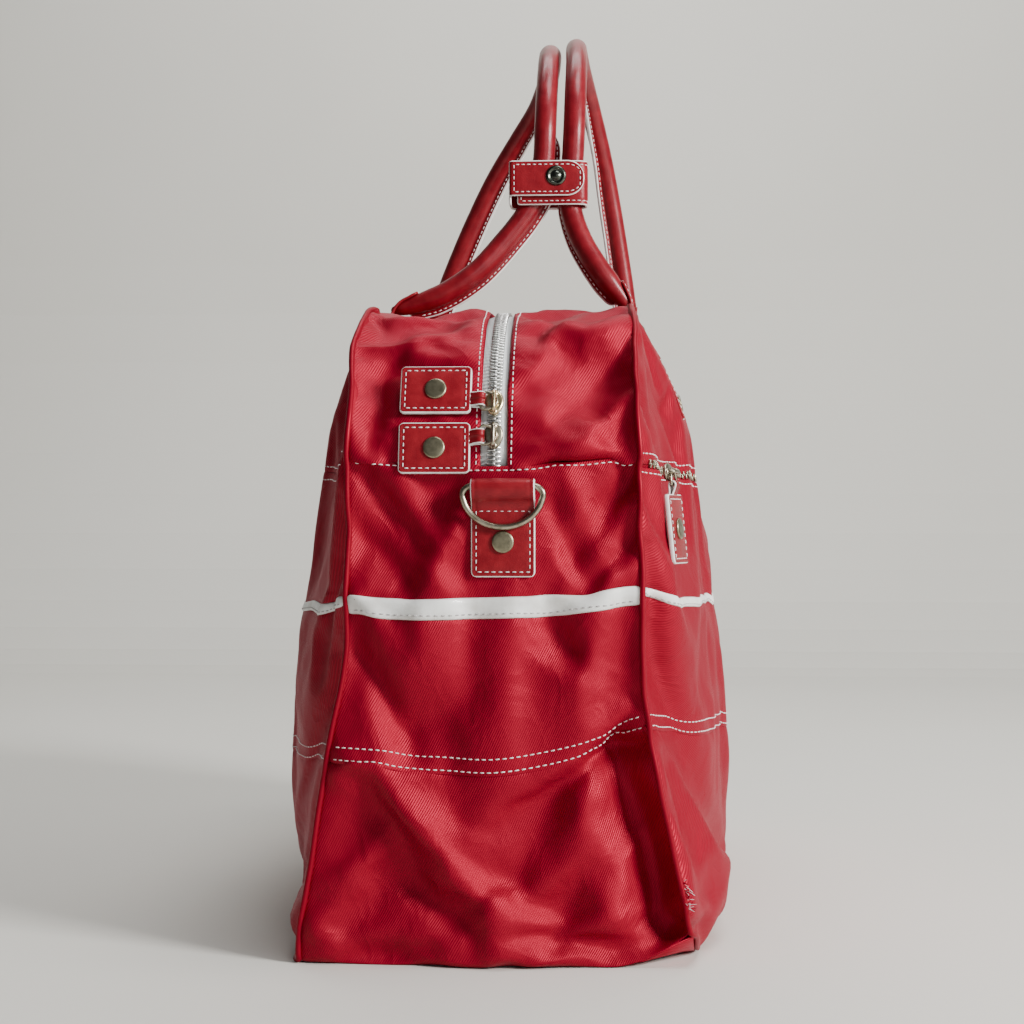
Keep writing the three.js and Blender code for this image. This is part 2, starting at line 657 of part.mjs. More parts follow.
// A bent strap: an outline in X and Y round the legs, pushed up by the strap's width.
function addStrap(name, outline) {
  const shape = new THREE.Shape(outline.map(([x, y]) => new THREE.Vector2(x, KEEPER_Y + y)));
  addPiece(bag, name, plateSolid(shape, keeperHeight), leather).position.z = KEEPER_Z[0];
}
const UNDER_X = [3.6, 43.7];
addStrap('keeper_under', [
  [UNDER_X[0], -UNDER_HALF - STRAP], [UNDER_X[1], -UNDER_HALF - STRAP],
  [UNDER_X[1], UNDER_HALF + STRAP], [UNDER_X[0], UNDER_HALF + STRAP],
  [UNDER_X[0], UNDER_HALF], [UNDER_X[1] - STRAP, UNDER_HALF],
  [UNDER_X[1] - STRAP, -UNDER_HALF], [UNDER_X[0], -UNDER_HALF]]);
const WRAP_X = [-0.8, 40];
addStrap('keeper_wrap', [
  [WRAP_X[0], -WRAP_HALF - 0.4], [WRAP_X[0] + STRAP, -WRAP_HALF - 0.4],
  [WRAP_X[0] + STRAP, WRAP_HALF], [WRAP_X[1], WRAP_HALF],
  [WRAP_X[1], WRAP_HALF + STRAP], [WRAP_X[0], WRAP_HALF + STRAP]]);

const FLAP_X = [0, 42];
const flapOutline = roundedRectangle(FLAP_X[0], KEEPER_Z[0], FLAP_X[1], KEEPER_Z[1], 1);
const flap = plateSolid(flapOutline, STRAP);
flap.rotateX(Math.PI / 2);
addPiece(bag, 'keeper_flap', flap, leather).position.y = KEEPER_Y - WRAP_HALF - 0.8;
const capPoint = new THREE.Vector3(26, KEEPER_Y - WRAP_HALF - 0.8 - STRAP, 418);
addRivet(bag, 'keeper_snap_cap', capPoint, new THREE.Vector3(0, -1, 0), 5.8);

export default bag;
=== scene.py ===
"""A zip-top boston bag in red twill: the looks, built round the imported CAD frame.

Lengths are millimetres in everything but the stage, lights and camera, and MM turns them into the
frame's metres. -Y is the near end, +X the side with the zip pocket.
"""
import math

import bpy
import numpy as np
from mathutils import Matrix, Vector, noise
from mathutils.bvhtree import BVHTree


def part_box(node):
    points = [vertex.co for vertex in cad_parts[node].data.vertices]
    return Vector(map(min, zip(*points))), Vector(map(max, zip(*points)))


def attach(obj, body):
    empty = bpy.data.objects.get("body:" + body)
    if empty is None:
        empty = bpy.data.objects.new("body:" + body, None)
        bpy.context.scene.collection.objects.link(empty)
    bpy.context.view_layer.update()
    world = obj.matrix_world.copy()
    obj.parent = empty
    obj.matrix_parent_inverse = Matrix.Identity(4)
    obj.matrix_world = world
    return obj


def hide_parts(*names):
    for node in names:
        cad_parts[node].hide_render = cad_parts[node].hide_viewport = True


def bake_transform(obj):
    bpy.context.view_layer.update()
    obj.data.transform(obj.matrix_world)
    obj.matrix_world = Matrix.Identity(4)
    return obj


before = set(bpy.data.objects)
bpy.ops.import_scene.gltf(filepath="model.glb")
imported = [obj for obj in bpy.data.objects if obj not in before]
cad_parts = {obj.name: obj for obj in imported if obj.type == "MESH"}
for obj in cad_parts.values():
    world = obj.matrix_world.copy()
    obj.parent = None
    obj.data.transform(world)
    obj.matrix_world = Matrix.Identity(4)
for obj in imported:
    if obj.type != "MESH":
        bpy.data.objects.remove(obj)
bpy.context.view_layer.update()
MM = 0.001

# ---- Sizes that follow the frame ----
SEAM_INSET = 2.3        # from a panel's edge to the middle of the piping
HALF_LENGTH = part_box("base_panel")[1][1] / MM + SEAM_INSET
WALL_HEIGHT = 249.0
SHOULDER_RADIUS = 86.0
TOP_Z = WALL_HEIGHT + SHOULDER_RADIUS
TOP_HALF_LENGTH = HALF_LENGTH - SHOULDER_RADIUS
SEAM_WIDTHS = [(0, 101), (45, 90), (100, 77), (170, 74), (250, 73), (300, 70), (335, 65)]
MIDDLE_WIDTHS = [(0, 106), (45, 119), (100, 123), (170, 119), (250, 108), (300, 92), (335, 70)]
ZIP_FOLD_X = 8.8
ZIP_OPENING_X = 6.2     # the finished fold of the cloth beside the zip
PULL_TOP_S = 306.0      # the zip pulls lie flat on the left zip panel up to here
SEED = 7
SEAM_SMOOTHING = 10     # passes that keep the cord in the side seams from crumpling with the cloth

# Seam heights round the bag
DOUBLE_SEAM_Z = 98.0
END_BAND_Z = (170.0, 181.0)
SIDE_BAND_Z = (175.0, 181.0)
POCKET_Z = 244.5

TAB_X = 5.0             # the ring tabs sit off the middle
HANDLE_Y = 95.0         # the handle legs, from the middle of the bag


def unit(vectors):
    """The vectors, along the last axis, at length one."""
    vectors = np.asarray(vectors, float)
    return vectors / np.maximum(np.linalg.norm(vectors, axis=-1, keepdims=True), 1e-9)


def hill(value, centre, width):
    return np.exp(-((value - centre) / width) ** 2)


def lengths_along(path):
    return np.concatenate([[0], np.cumsum(np.linalg.norm(np.diff(path, axis=0), axis=1))])


def read_off(place, distances, values):
    """The row of values at a place between their distances, or one row for each place."""
    values = np.asarray(values)
    return np.stack([np.interp(place, distances, values[:, k]) for k in range(values.shape[1])], -1)


def smooth_profile(points, z):
    """Catmull-Rom through (height, half width) points, at the heights in z."""
    heights, widths = np.array(points, float).T
    slopes = np.gradient(widths, heights)
    z = np.clip(z, heights[0], heights[-1])
    k = np.clip(np.searchsorted(heights, z, side="right") - 1, 0, len(heights) - 2)
    span = heights[k + 1] - heights[k]
    t = (z - heights[k]) / span
    a, b = widths[k], widths[k + 1]
    m, n = slopes[k] * span, slopes[k + 1] * span
    cubic = (2 * t**3 - 3 * t**2 + 1) * a + (t**3 - 2 * t**2 + t) * m
    return cubic + (-2 * t**3 + 3 * t**2) * b + (t**3 - t**2) * n


def seam_width(z):
    return smooth_profile(SEAM_WIDTHS, z)


def side_x(u, z):
    """Half thickness of a long side at share u of its length and height z."""
    seam = seam_width(z)
    return seam + (smooth_profile(MIDDLE_WIDTHS, z) - seam) * (1 - np.abs(u) ** 2.5)


def end_y(z):
    rise = np.clip(z - WALL_HEIGHT, 0, SHOULDER_RADIUS)
    return TOP_HALF_LENGTH + np.sqrt(SHOULDER_RADIUS**2 - rise**2)


# ---- The shell as two side grids and one strip grid that share their seam vertices ----
def steps(start, stop, size):
    count = max(1, round((stop - start) / size))
    return list(np.linspace(start, stop, count + 1)[:-1])


CELL = 5.2
WALL_ROWS = (steps(0, DOUBLE_SEAM_Z, CELL) + steps(DOUBLE_SEAM_Z, END_BAND_Z[0], CELL)
             + [END_BAND_Z[0], SIDE_BAND_Z[0]] + steps(END_BAND_Z[1], POCKET_Z, CELL)
             + [POCKET_Z])
ARC_ANGLES = np.linspace(0, math.pi / 2, 26)
ROW_Z = np.array(WALL_ROWS + list(WALL_HEIGHT + SHOULDER_RADIUS * np.sin(ARC_ANGLES)))
ROW_Y = np.array([HALF_LENGTH] * len(WALL_ROWS)
                 + list(TOP_HALF_LENGTH + SHOULDER_RADIUS * np.cos(ARC_ANGLES)))
ROW_S = np.array(WALL_ROWS + list(WALL_HEIGHT + SHOULDER_RADIUS * ARC_ANGLES))
FOOT_ROW = len(WALL_ROWS)
COLUMNS = 86
SHARES = np.linspace(-1, 1, COLUMNS + 1)
HALF_ACROSS = 13
TOP_S = ROW_S[-1]
STRIP_LENGTH = 2 * TOP_S + 2 * TOP_HALF_LENGTH


def side_grid(sign):
    z = np.repeat(ROW_Z[:, None], COLUMNS + 1, 1)
    y = ROW_Y[:, None] * SHARES[None, :]
    x = sign * side_x(np.repeat(SHARES[None, :], len(ROW_Z), 0), z)
    return np.stack([x, y, z], -1)


def strip_stations():
    """(y, z, outward y, outward z, half width, distance) along the strip from end to end."""
    out = []
    for k in range(len(ROW_Z)):
        turn = ARC_ANGLES[max(k - FOOT_ROW, 0)]
        out.append((-ROW_Y[k], ROW_Z[k], -math.cos(turn), math.sin(turn),
                    float(seam_width(ROW_Z[k])), ROW_S[k]))
    for u in SHARES[1:-1]:
        y = u * TOP_HALF_LENGTH
        out.append((y, TOP_Z, 0, 1, float(side_x(u, TOP_Z)), TOP_S + y + TOP_HALF_LENGTH))
    for y, z, ny, nz, width, s in reversed(out[:len(ROW_Z)]):
        out.append((-y, z, -ny, nz, width, STRIP_LENGTH - s))
    return out


def across(width):
    """Places across the strip: zip fold lines stay put, the rest spread out to the seams."""
    outer = np.linspace(ZIP_FOLD_X, width, HALF_ACROSS)
    return np.concatenate([-outer[::-1], [0], outer])


STATIONS = strip_stations()
STATION_TABLE = np.array(STATIONS, float)
STATION_S = STATION_TABLE[:, 5]
CROWN = 6.5             # how far the zip panels puff up between the zip and the seam
END_CROWN = 3.0
PULL_BED_CROWN = 1.0    # under the pulls


def strip_grid():
    rows = []
    for y, z, ny, nz, width, s in STATIONS:
        x = across(width)
        share = x / width
        crown = END_CROWN * (1 - share**2)
        if s > WALL_HEIGHT + 5 and s < STRIP_LENGTH - WALL_HEIGHT - 5:
            outward = (np.abs(x) - ZIP_FOLD_X) / (width - ZIP_FOLD_X)
            crown = CROWN * np.sin(math.pi * np.clip(outward, 0, 1)) ** 0.8
            if y < 0:
                crown = np.where(x < 0, crown * (1 - 0.5 * hill(s, PULL_TOP_S + 50, 45)), crown)
            if y < 0 and s < PULL_TOP_S:
                crown = np.where(x < 0, np.minimum(crown, PULL_BED_CROWN), crown)
        rows.append(np.stack([x, y + ny * crown, z + nz * crown], -1))
    return np.array(rows)


class Shell:
    """The welded shell's vertices, with the index of each grid place."""

    def __init__(self):
        sides = {-1: side_grid(-1), 1: side_grid(1)}
        strip = strip_grid()
        self.points = []
        self.index = {}
        for sign, grid in sides.items():
            self.index[sign] = self.add(grid)
        numbers = np.zeros(strip.shape[:2], int)
        last_row, last_column = strip.shape[0] - 1, strip.shape[1] - 1
        for r in range(strip.shape[0]):
            for c in range(strip.shape[1]):
                if c in (0, last_column):
                    numbers[r, c] = self.seam_vertex(-1 if c == 0 else 1, r, last_row)
                else:
                    numbers[r, c] = len(self.points)
                    self.points.append(strip[r, c])
        self.index["strip"] = numbers
        self.points = np.array(self.points)

    def add(self, grid):
        start = len(self.points)
        self.points.extend(grid.reshape(-1, 3))
        return start + np.arange(grid.shape[0] * grid.shape[1]).reshape(grid.shape[:2])

    def seam_vertex(self, sign, row, last_row):
        top = len(ROW_Z) - 1
        side = self.index[sign]
        if row <= top:
            return side[row, 0]
        if row >= last_row - top:
            return side[last_row - row, -1]
        return side[-1, row - top]

    def faces(self):
        out = []
        for key, flip in ((-1, True), (1, False), ("strip", False)):
            out.extend(grid_faces(self.index[key], flip))
        return out

    def grid(self, key):
        return self.points[self.index[key]]


def grid_faces(index, flip):
    a, b = index[:-1, :-1].ravel(), index[:-1, 1:].ravel()
    c, d = index[1:, 1:].ravel(), index[1:, :-1].ravel()
    quads = np.stack([d, c, b, a] if flip else [a, b, c, d], -1)
    return quads.tolist()


def mesh_from(name, vertices, faces, smooth=True):
    mesh = bpy.data.meshes.new(name)
    mesh.from_pydata([tuple(v) for v in vertices], [], faces)
    mesh.update()
    mesh.polygons.foreach_set("use_smooth", [smooth] * len(mesh.polygons))
    return mesh


def add_object(name, mesh):
    obj = bpy.data.objects.new(name, mesh)
    bpy.context.scene.collection.objects.link(obj)
    return obj


def normals_of(points, faces):
    """Area-weighted vertex normals of quads."""
    f = np.array(faces)
    cross = np.cross(points[f[:, 2]] - points[f[:, 0]], points[f[:, 3]] - points[f[:, 1]])
    normals = np.zeros_like(points)
    for corner in range(4):
        np.add.at(normals, f[:, corner], cross)
    return unit(normals)


# ---- Folds ----
# On the near end: from (x, z) to (x, z), half width, depth (positive is a valley).
NEAR_CREASES = [
    ((60, 96), (88, 14), 9, 11.0), ((46, 84), (58, 26), 13, -5.0), ((18, 82), (62, 96), 9, 3.5),
    ((-64, 84), (-36, 38), 12, 4.0), ((-36, 74), (24, 10), 14, -4.0), ((-86, 20), (-58, 62), 10, -3.5),
    ((-10, 60), (34, 30), 8, 3.2), ((-4, 34), (40, 52), 6, -2.4), ((10, 22), (58, 12), 7, 2.6),
    ((30, 166), (66, 112), 9, 5.0), ((48, 140), (72, 104), 7, -4.0), ((20, 150), (52, 128), 6, -2.6),
    ((-44, 118), (18, 150), 13, 3.0), ((-66, 150), (-40, 112), 8, 2.6), ((-30, 160), (-8, 108), 8, -2.4),
    ((-66, 242), (-30, 202), 8, 4.0), ((-48, 240), (-22, 186), 7, -3.0), ((-70, 214), (-44, 190), 6, 2.4),
    ((68, 240), (38, 200), 8, 4.5), ((34, 242), (58, 188), 6, -3.6), ((70, 214), (46, 184), 6, 2.8),
    ((28, 226), (44, 190), 5, 2.2),
]
CREASE_DEPTH = 1.5      # every crease's depth is multiplied by this
# On the zip panels of the near shoulder: from (x, s) to (x, s).
SHOULDER_CREASES = [
    ((24, 262), (66, 318), 9, 3.5), ((40, 256), (68, 286), 7, -2.5), ((20, 330), (60, 352), 8, 2.5),
    ((-60, 268), (-50, 330), 9, 3.0), ((-52, 350), (-20, 372), 9, -2.5), ((14, 300), (40, 345), 7, -2.0),
    ((30, 372), (64, 384), 6, 2.2), ((24, 385), (60, 402), 5, -1.8),
]


def crease_depth(u, v, creases):
    """Sum of soft ridges and valleys, each along a straight line, fading past its ends."""
    total = np.zeros_like(u)
    for (x0, z0), (x1, z1), width, depth in creases:
        dx, dz = x1 - x0, z1 - z0
        length = math.hypot(dx, dz)
        along = ((u - x0) * dx + (v - z0) * dz) / length
        off = ((u - x0) * dz - (v - z0) * dx) / length
        past = np.maximum(np.maximum(-along, along - length), 0)
        total -= CREASE_DEPTH * depth * np.exp(-np.abs(off / width) ** 1.6) * hill(past, 0, width * 1.2)
    return total


def soft_noise(points, scale, seed):
    return np.array([noise.noise(Vector(p) / scale + Vector((seed, 0, 0))) for p in points])


# Crumples run diagonally: the noise is stretched along one slanting way.
CRUMPLE_LEAN = np.array([[1.0, 0.0, 0.45], [0.0, 0.8, 0.3], [-0.55, 0.0, 0.62]])


def ridges(points, scale, seed):
    """Noise folded over at zero, so that it rises to sharp ridges, from -0.5 to 0.5."""
    return 0.5 - 2.2 * np.abs(soft_noise(points, scale, seed))


def slump(points):
    """How a stuffed bag leans out of true: seams climb to the right, the sides swell, corners lift."""
    x, y, z = points.T
    wide = np.abs(x)
    near = np.clip(0.5 - y / HALF_LENGTH / 2, 0, 1)
    right = np.clip((x + 5) / 80, 0, 1)
    left = np.clip(-x / 75, 0, 1)
    moved = points.copy()
    # The near end's seams climb, most of all to the right.
    moved[:, 2] += near * right**1.5 * (17 * hill(z, DOUBLE_SEAM_Z, 48) + 4 * hill(z, 175, 30))
    moved[:, 2] += near * 6 * hill(z, 150, 75)
    moved[:, 2] += near * 6 * hill(z, WALL_HEIGHT, 38) * np.clip(wide / 60 - 0.25, 0, 1)
    # Its left corner leans out low down, and the long sides swell away from the seams.
    moved[:, 0] -= near * left * 6.5 * hill(z, 95, 42)
    moved[:, 0] -= 10 * hill(z, 170, 105) * np.clip((-x - 74) / 34, 0, 1)
    moved[:, 0] += 5 * hill(z, 150, 105) * np.clip((x - 74) / 34, 0, 1)
    # The near shoulder spreads and its corners stand up.
    moved[:, 0] += 0.055 * x * near * hill(z, TOP_Z, 42)
    moved[:, 0] -= 5 * near * left**2 * hill(z, TOP_Z, 45)
    moved[:, 2] += 4.5 * near * hill(z, TOP_Z, 30) * np.clip(wide / 40, 0, 1)
    # The base draws in at its edge and lifts at its corners.
    moved[:, 0] -= 0.035 * x * np.clip(1 - z / 26, 0, 1) ** 2
    moved[:, 2] += corner_lift(x, y) * np.clip(1 - z / 70, 0, 1)
    return moved


def corner_lift(x, y):
    """How far a base corner stands off the floor, more on the right than on the left."""
    outward = np.clip((np.abs(x) - 62) / 40, 0, 1) ** 1.6
    endward = np.clip((np.abs(y) - 185) / 40, 0, 1) ** 1.6
    return (8 + 10 * np.clip(x / 60, -1, 1)) * outward * endward


# How firmly places keep still while the cloth settles, from 0 (free) to 1 (fixed).
FREE_HOLD = 0.02
SEAM_ROW_HOLD = 0.16
PULL_HOLD = 0.5
SEAM_HOLD = 0.75
TAB_HOLD = 0.8
PATCH_HOLD = 0.9


def hold_weights(shell):
    """The hold on each vertex: firm at seams and under the trimmings."""
    hold = np.full(len(shell.points), FREE_HOLD)
    strip = shell.index["strip"]
    for row, (y, z, ny, nz, width, s) in enumerate(STATIONS):
        reach = min(s, STRIP_LENGTH - s)
        hold[strip[row, 0]] = hold[strip[row, -1]] = SEAM_HOLD
        middle = strip[row, HALF_ACROSS - 1:HALF_ACROSS + 2]
        if reach > WALL_HEIGHT - 12:
            hold[middle] = 1.0
        for c in range(strip.shape[1]):
            x = across(width)[c]
            if abs(x - TAB_X) < 22 and 190 < reach < 262:
                hold[strip[row, c]] = max(hold[strip[row, c]], TAB_HOLD)
            if y < 0 and -52 < x < 8 and 244 < reach < 302:
                hold[strip[row, c]] = max(hold[strip[row, c]], PULL_HOLD)
    points = shell.points
    hold[points[:, 2] < 3] = 1.0
    patch = (np.abs(np.abs(points[:, 1]) - HANDLE_Y) < 22) & (points[:, 2] > 268)
    hold[patch & (np.abs(points[:, 0]) > 60)] = PATCH_HOLD
    for height in (DOUBLE_SEAM_Z, 173, 178, POCKET_Z, WALL_HEIGHT):
        near = np.abs(points[:, 2] - height) < 3.5
        hold[near] = np.maximum(hold[near], SEAM_ROW_HOLD)
    return hold


SLACK = 0.065           # the cloth is this share larger than the shape it fills
SETTLING_FRAMES = 28
MOST_SETTLING = 9.0
CLOTH_SETTINGS = {
    "quality": 8, "mass": 0.25, "tension_stiffness": 40, "compression_stiffness": 40,
    "shear_stiffness": 20, "bending_stiffness": 0.4, "tension_damping": 12,
    "compression_damping": 12, "air_damping": 3, "vertex_group_mass": "hold", "pin_stiffness": 1.0,
    "shrink_min": -SLACK, "use_pressure": True, "uniform_pressure_force": 0.4,
}


def settle(shell, faces, hold):
    """Lets the slack cloth buckle, and returns how each vertex moved."""
    start = shell.points * MM
    obj = add_object("settling_shell", mesh_from("settling_shell", start, faces, smooth=False))
    group = obj.vertex_groups.new(name="hold")
    for number, weight in enumerate(hold):
        group.add([number], float(weight), "REPLACE")
    cloth = obj.modifiers.new("cloth", "CLOTH")
    cloth.collision_settings.use_collision = False
    for key, value in CLOTH_SETTINGS.items():
        setattr(cloth.settings, key, value)
    scene = bpy.context.scene
    for step in range(SETTLING_FRAMES):
        scene.frame_set(step + 1)
    graph = bpy.context.evaluated_depsgraph_get()
    settled = obj.evaluated_get(graph).to_mesh()
    after = np.array([v.co[:] for v in settled.vertices])
    obj.evaluated_get(graph).to_mesh_clear()
    mesh = obj.data
    bpy.data.objects.remove(obj)
    bpy.data.meshes.remove(mesh)
    scene.frame_set(1)
    return (after - start) / MM


def build_shell():
    shell = Shell()
    faces = shell.faces()
    hold = hold_weights(shell)
    shell.points = slump(shell.points)
    normals = normals_of(shell.points, faces)
    free = np.clip((1 - hold) / (1 - FREE_HOLD), 0, 1)

    strip = shell.index["strip"]
    grid_x = shell.points[strip][:, :, 0]
    grid_s = np.repeat(STATION_S[:, None], strip.shape[1], 1)
    depth = np.zeros(len(shell.points))
    creases = np.where(grid_s < WALL_HEIGHT, crease_depth(grid_x, grid_s, NEAR_CREASES),
                       crease_depth(grid_x, grid_s, SHOULDER_CREASES))
    far = STRIP_LENGTH - grid_s
    creases += 0.7 * crease_depth(-grid_x, far, NEAR_CREASES) * (far < WALL_HEIGHT)
    depth[strip] = creases
    depth += 3.0 * soft_noise(shell.points, 95, SEED) + 1.8 * soft_noise(shell.points, 42, SEED + 9)
    lean = shell.points @ CRUMPLE_LEAN
    depth += 4.0 * ridges(lean, 50, SEED + 3) + 1.1 * ridges(lean, 24, SEED + 5)
    shell.points = shell.points + normals * (depth * free)[:, None]

    moved = settle(shell, faces, hold)
    for seam in (strip[:, 0], strip[:, -1]):
        for _ in range(SEAM_SMOOTHING):
            moved[seam[1:-1]] = (moved[seam[:-2]] + 2 * moved[seam[1:-1]] + moved[seam[2:]]) / 4
    length = np.linalg.norm(moved, axis=1, keepdims=True)
    shell.points = shell.points + moved * np.minimum(1, MOST_SETTLING / np.maximum(length, 1e-6))
    shell.points[:, 2] = np.maximum(shell.points[:, 2], 0.3)
    return shell


shell = build_shell()


# ---- Materials ----
class Nodes:
    """A new material, with short calls for wiring its nodes."""

    def __init__(self, name, color, roughness, metallic=0.0, **sockets):
        self.material = bpy.data.materials.new(name)
        self.material.use_nodes = True
        self.tree = self.material.node_tree
        self.shader = self.tree.nodes["Principled BSDF"]
        sockets.update(Base_Color=(*color, 1), Roughness=roughness, Metallic=metallic)
        for socket, value in sockets.items():
            self.shader.inputs[socket.replace("_", " ")].default_value = value

    def add(self, kind, settings=(), **inputs):
        node = self.tree.nodes.new(kind)
        for key, value in dict(settings).items():
            setattr(node, key, value)
        for name, value in inputs.items():
            socket = node.inputs[name.replace("_", " ")]
            if isinstance(value, bpy.types.NodeSocket):
                self.tree.links.new(value, socket)
            else:
                socket.default_value = value
        return node

    def place(self, scale, turn=0.0, source="Object"):
        """Surface coordinates in mm, from the object or its weave map, turned about Z."""
        if source == "weave":
            coordinate = self.add("ShaderNodeUVMap", {"uv_map": "weave"}).outputs["UV"]
        else:
            coordinate = self.add("ShaderNodeTexCoord").outputs["Object"]
        mapping = self.add("ShaderNodeMapping", Vector=coordinate)
        mapping.inputs["Scale"].default_value = (scale, scale, scale)
        mapping.inputs["Rotation"].default_value = (0, 0, turn)
        return mapping.outputs["Vector"]

    def noise(self, vector, scale, detail=3.0):
        return self.add("ShaderNodeTexNoise", Vector=vector, Scale=scale, Detail=detail).outputs["Fac"]

    def ramp(self, factor, low, high, start=0.3, stop=0.7):
        node = self.add("ShaderNodeValToRGB", Fac=factor)
        node.color_ramp.elements[0].position = start
        node.color_ramp.elements[1].position = stop
        node.color_ramp.elements[0].color = (*low, 1)
        node.color_ramp.elements[1].color = (*high, 1)
        return node.outputs["Color"]

    def range(self, value, low, high):
        node = self.add("ShaderNodeMapRange", Value=value)
        node.inputs["To Min"].default_value = low
        node.inputs["To Max"].default_value = high
        return node.outputs["Result"]

    def math(self, operation, a, b):
        node = self.add("ShaderNodeMath", {"operation": operation})
        for socket, value in zip(node.inputs, (a, b)):
            if isinstance(value, bpy.types.NodeSocket):
                self.tree.links.new(value, socket)
            else:
                socket.default_value = value
        return node.outputs[0]

    def bump(self, height, distance, strength=1.0):
        node = self.add("ShaderNodeBump", Height=height, Strength=strength, Distance=distance)
        self.link(node.outputs["Normal"], "Normal")

    def link(self, output, socket):
        self.tree.links.new(output, self.shader.inputs[socket])


SATIN_SHARE = 0.30      # nylon's coloured gloss, as a share of metal-like reflection


def twill_material(color, dark):
    n = Nodes("red_twill", color, 0.38, SATIN_SHARE, Sheen_Weight=0.02, Sheen_Roughness=0.4,
              Sheen_Tint=(1, 0.35, 0.42, 1), Specular_Tint=(1, 0.42, 0.48, 1), Specular_IOR_Level=0.2)
    weave = n.place(1, math.radians(28), "weave")
    lines = n.add("ShaderNodeTexWave", {"bands_direction": "X"}, Vector=weave, Scale=0.29,
                  Distortion=0.25, Detail=1.0, Detail_Scale=0.6).outputs["Fac"]
    threads = n.add("ShaderNodeTexWave", {"bands_direction": "Y"}, Vector=weave, Scale=0.62,
                    Distortion=0.4, Detail=1.0).outputs["Fac"]
    height = n.math("ADD", lines, n.math("MULTIPLY", threads, 0.28))
    crinkle = n.add("ShaderNodeTexNoise", Vector=weave, Scale=0.05, Detail=2.0, Distortion=0.4)
    ridge = n.math("ABSOLUTE", n.math("SUBTRACT", crinkle.outputs["Fac"], 0.5), 0.0)
    n.bump(n.math("ADD", height, n.math("MULTIPLY", ridge, -16.0)), 0.00013, 0.9)
    patches = n.noise(n.place(1, 0, "weave"), 0.02, 4.0)
    color_mix = n.add("ShaderNodeMix", {"data_type": "RGBA"})
    n.tree.links.new(n.math("MULTIPLY", lines, 0.9), color_mix.inputs["Factor"])
    color_mix.inputs["A"].default_value = (*dark, 1)
    n.tree.links.new(n.ramp(patches, tuple(0.9 * c for c in color), color), color_mix.inputs["B"])
    n.link(color_mix.outputs["Result"], "Base Color")
    n.link(n.range(patches, 0.34, 0.46), "Roughness")
    return n.material


def leather_material(name, color, worn, coat):
    n = Nodes(name, color, 0.36, Coat_Weight=coat, Coat_Roughness=0.22, Specular_IOR_Level=0.35,
              Specular_Tint=(1, 0.5, 0.52, 1))
    place = n.place(1000)
    pores = n.add("ShaderNodeTexVoronoi", {"feature": "DISTANCE_TO_EDGE"}, Vector=place,
                  Scale=1.15).outputs["Distance"]
    creases = n.noise(place, 0.16, 5.0)
    n.bump(n.math("ADD", pores, n.math("MULTIPLY", creases, 1.6)), 0.00022, 0.5)
    n.link(n.ramp(creases, color, worn, 0.35, 0.75), "Base Color")
    n.link(n.range(creases, 0.28, 0.46), "Roughness")
    return n.material


def white_edge_material():
    n = Nodes("white_edge", (0.80, 0.81, 0.79), 0.42, Coat_Weight=0.15)
    place = n.place(1000)
    dirt = n.noise(place, 0.09, 6.0)
    n.link(n.ramp(dirt, (0.66, 0.65, 0.62), (0.83, 0.84, 0.82), 0.3, 0.55), "Base Color")
    n.bump(n.noise(place, 0.9, 3.0), 0.00015, 0.4)
    return n.material


def thread_material(name, shade, light):
    n = Nodes(name, light, 0.6, Sheen_Weight=0.3)
    twist = n.add("ShaderNodeTexWave", {"bands_direction": "DIAGONAL"}, Vector=n.place(1000),
                  Scale=0.6).outputs["Fac"]
    n.bump(twist, 0.0001, 0.6)
    n.link(n.ramp(n.noise(n.place(1000), 0.05), shade, light), "Base Color")
    return n.material


def tape_material():
    n = Nodes("zip_tape", (0.74, 0.76, 0.76), 0.8, Sheen_Weight=0.2)
    ribs = n.add("ShaderNodeTexWave", {"bands_direction": "X"}, Vector=n.place(1, math.pi / 2, "weave"),
                 Scale=0.45, Distortion=0.4).outputs["Fac"]
    n.bump(ribs, 0.0002, 0.7)
    n.link(n.ramp(ribs, (0.60, 0.62, 0.62), (0.80, 0.82, 0.82)), "Base Color")
    return n.material


def board_material():
    n = Nodes("base_board", (0.16, 0.13, 0.10), 0.85)
    fibres = n.noise(n.place(1000), 0.5, 5.0)
    n.link(n.ramp(fibres, (0.11, 0.09, 0.07), (0.20, 0.165, 0.13)), "Base Color")
    n.bump(fibres, 0.0002, 0.5)
    return n.material


def metal_material(name, color, dark, low, high):
    """Tarnished metal: colour and darker patches, roughness from low to high on the patches."""
    n = Nodes(name, color, low, 1.0)
    place = n.place(1000)
    tarnish = n.noise(place, 0.28, 5.0)
    n.link(n.ramp(tarnish, dark, color, 0.35, 0.6), "Base Color")
    n.link(n.range(tarnish, high, low), "Roughness")
    n.bump(n.noise(place, 1.6, 2.0), 0.00006, 0.3)
    return n.material


def backdrop_material():
    n = Nodes("backdrop", (0.66, 0.645, 0.60), 0.9)
    n.link(n.ramp(n.noise(n.place(1), 1.3, 3.0), (0.64, 0.625, 0.58), (0.68, 0.665, 0.62)), "Base Color")
    return n.material


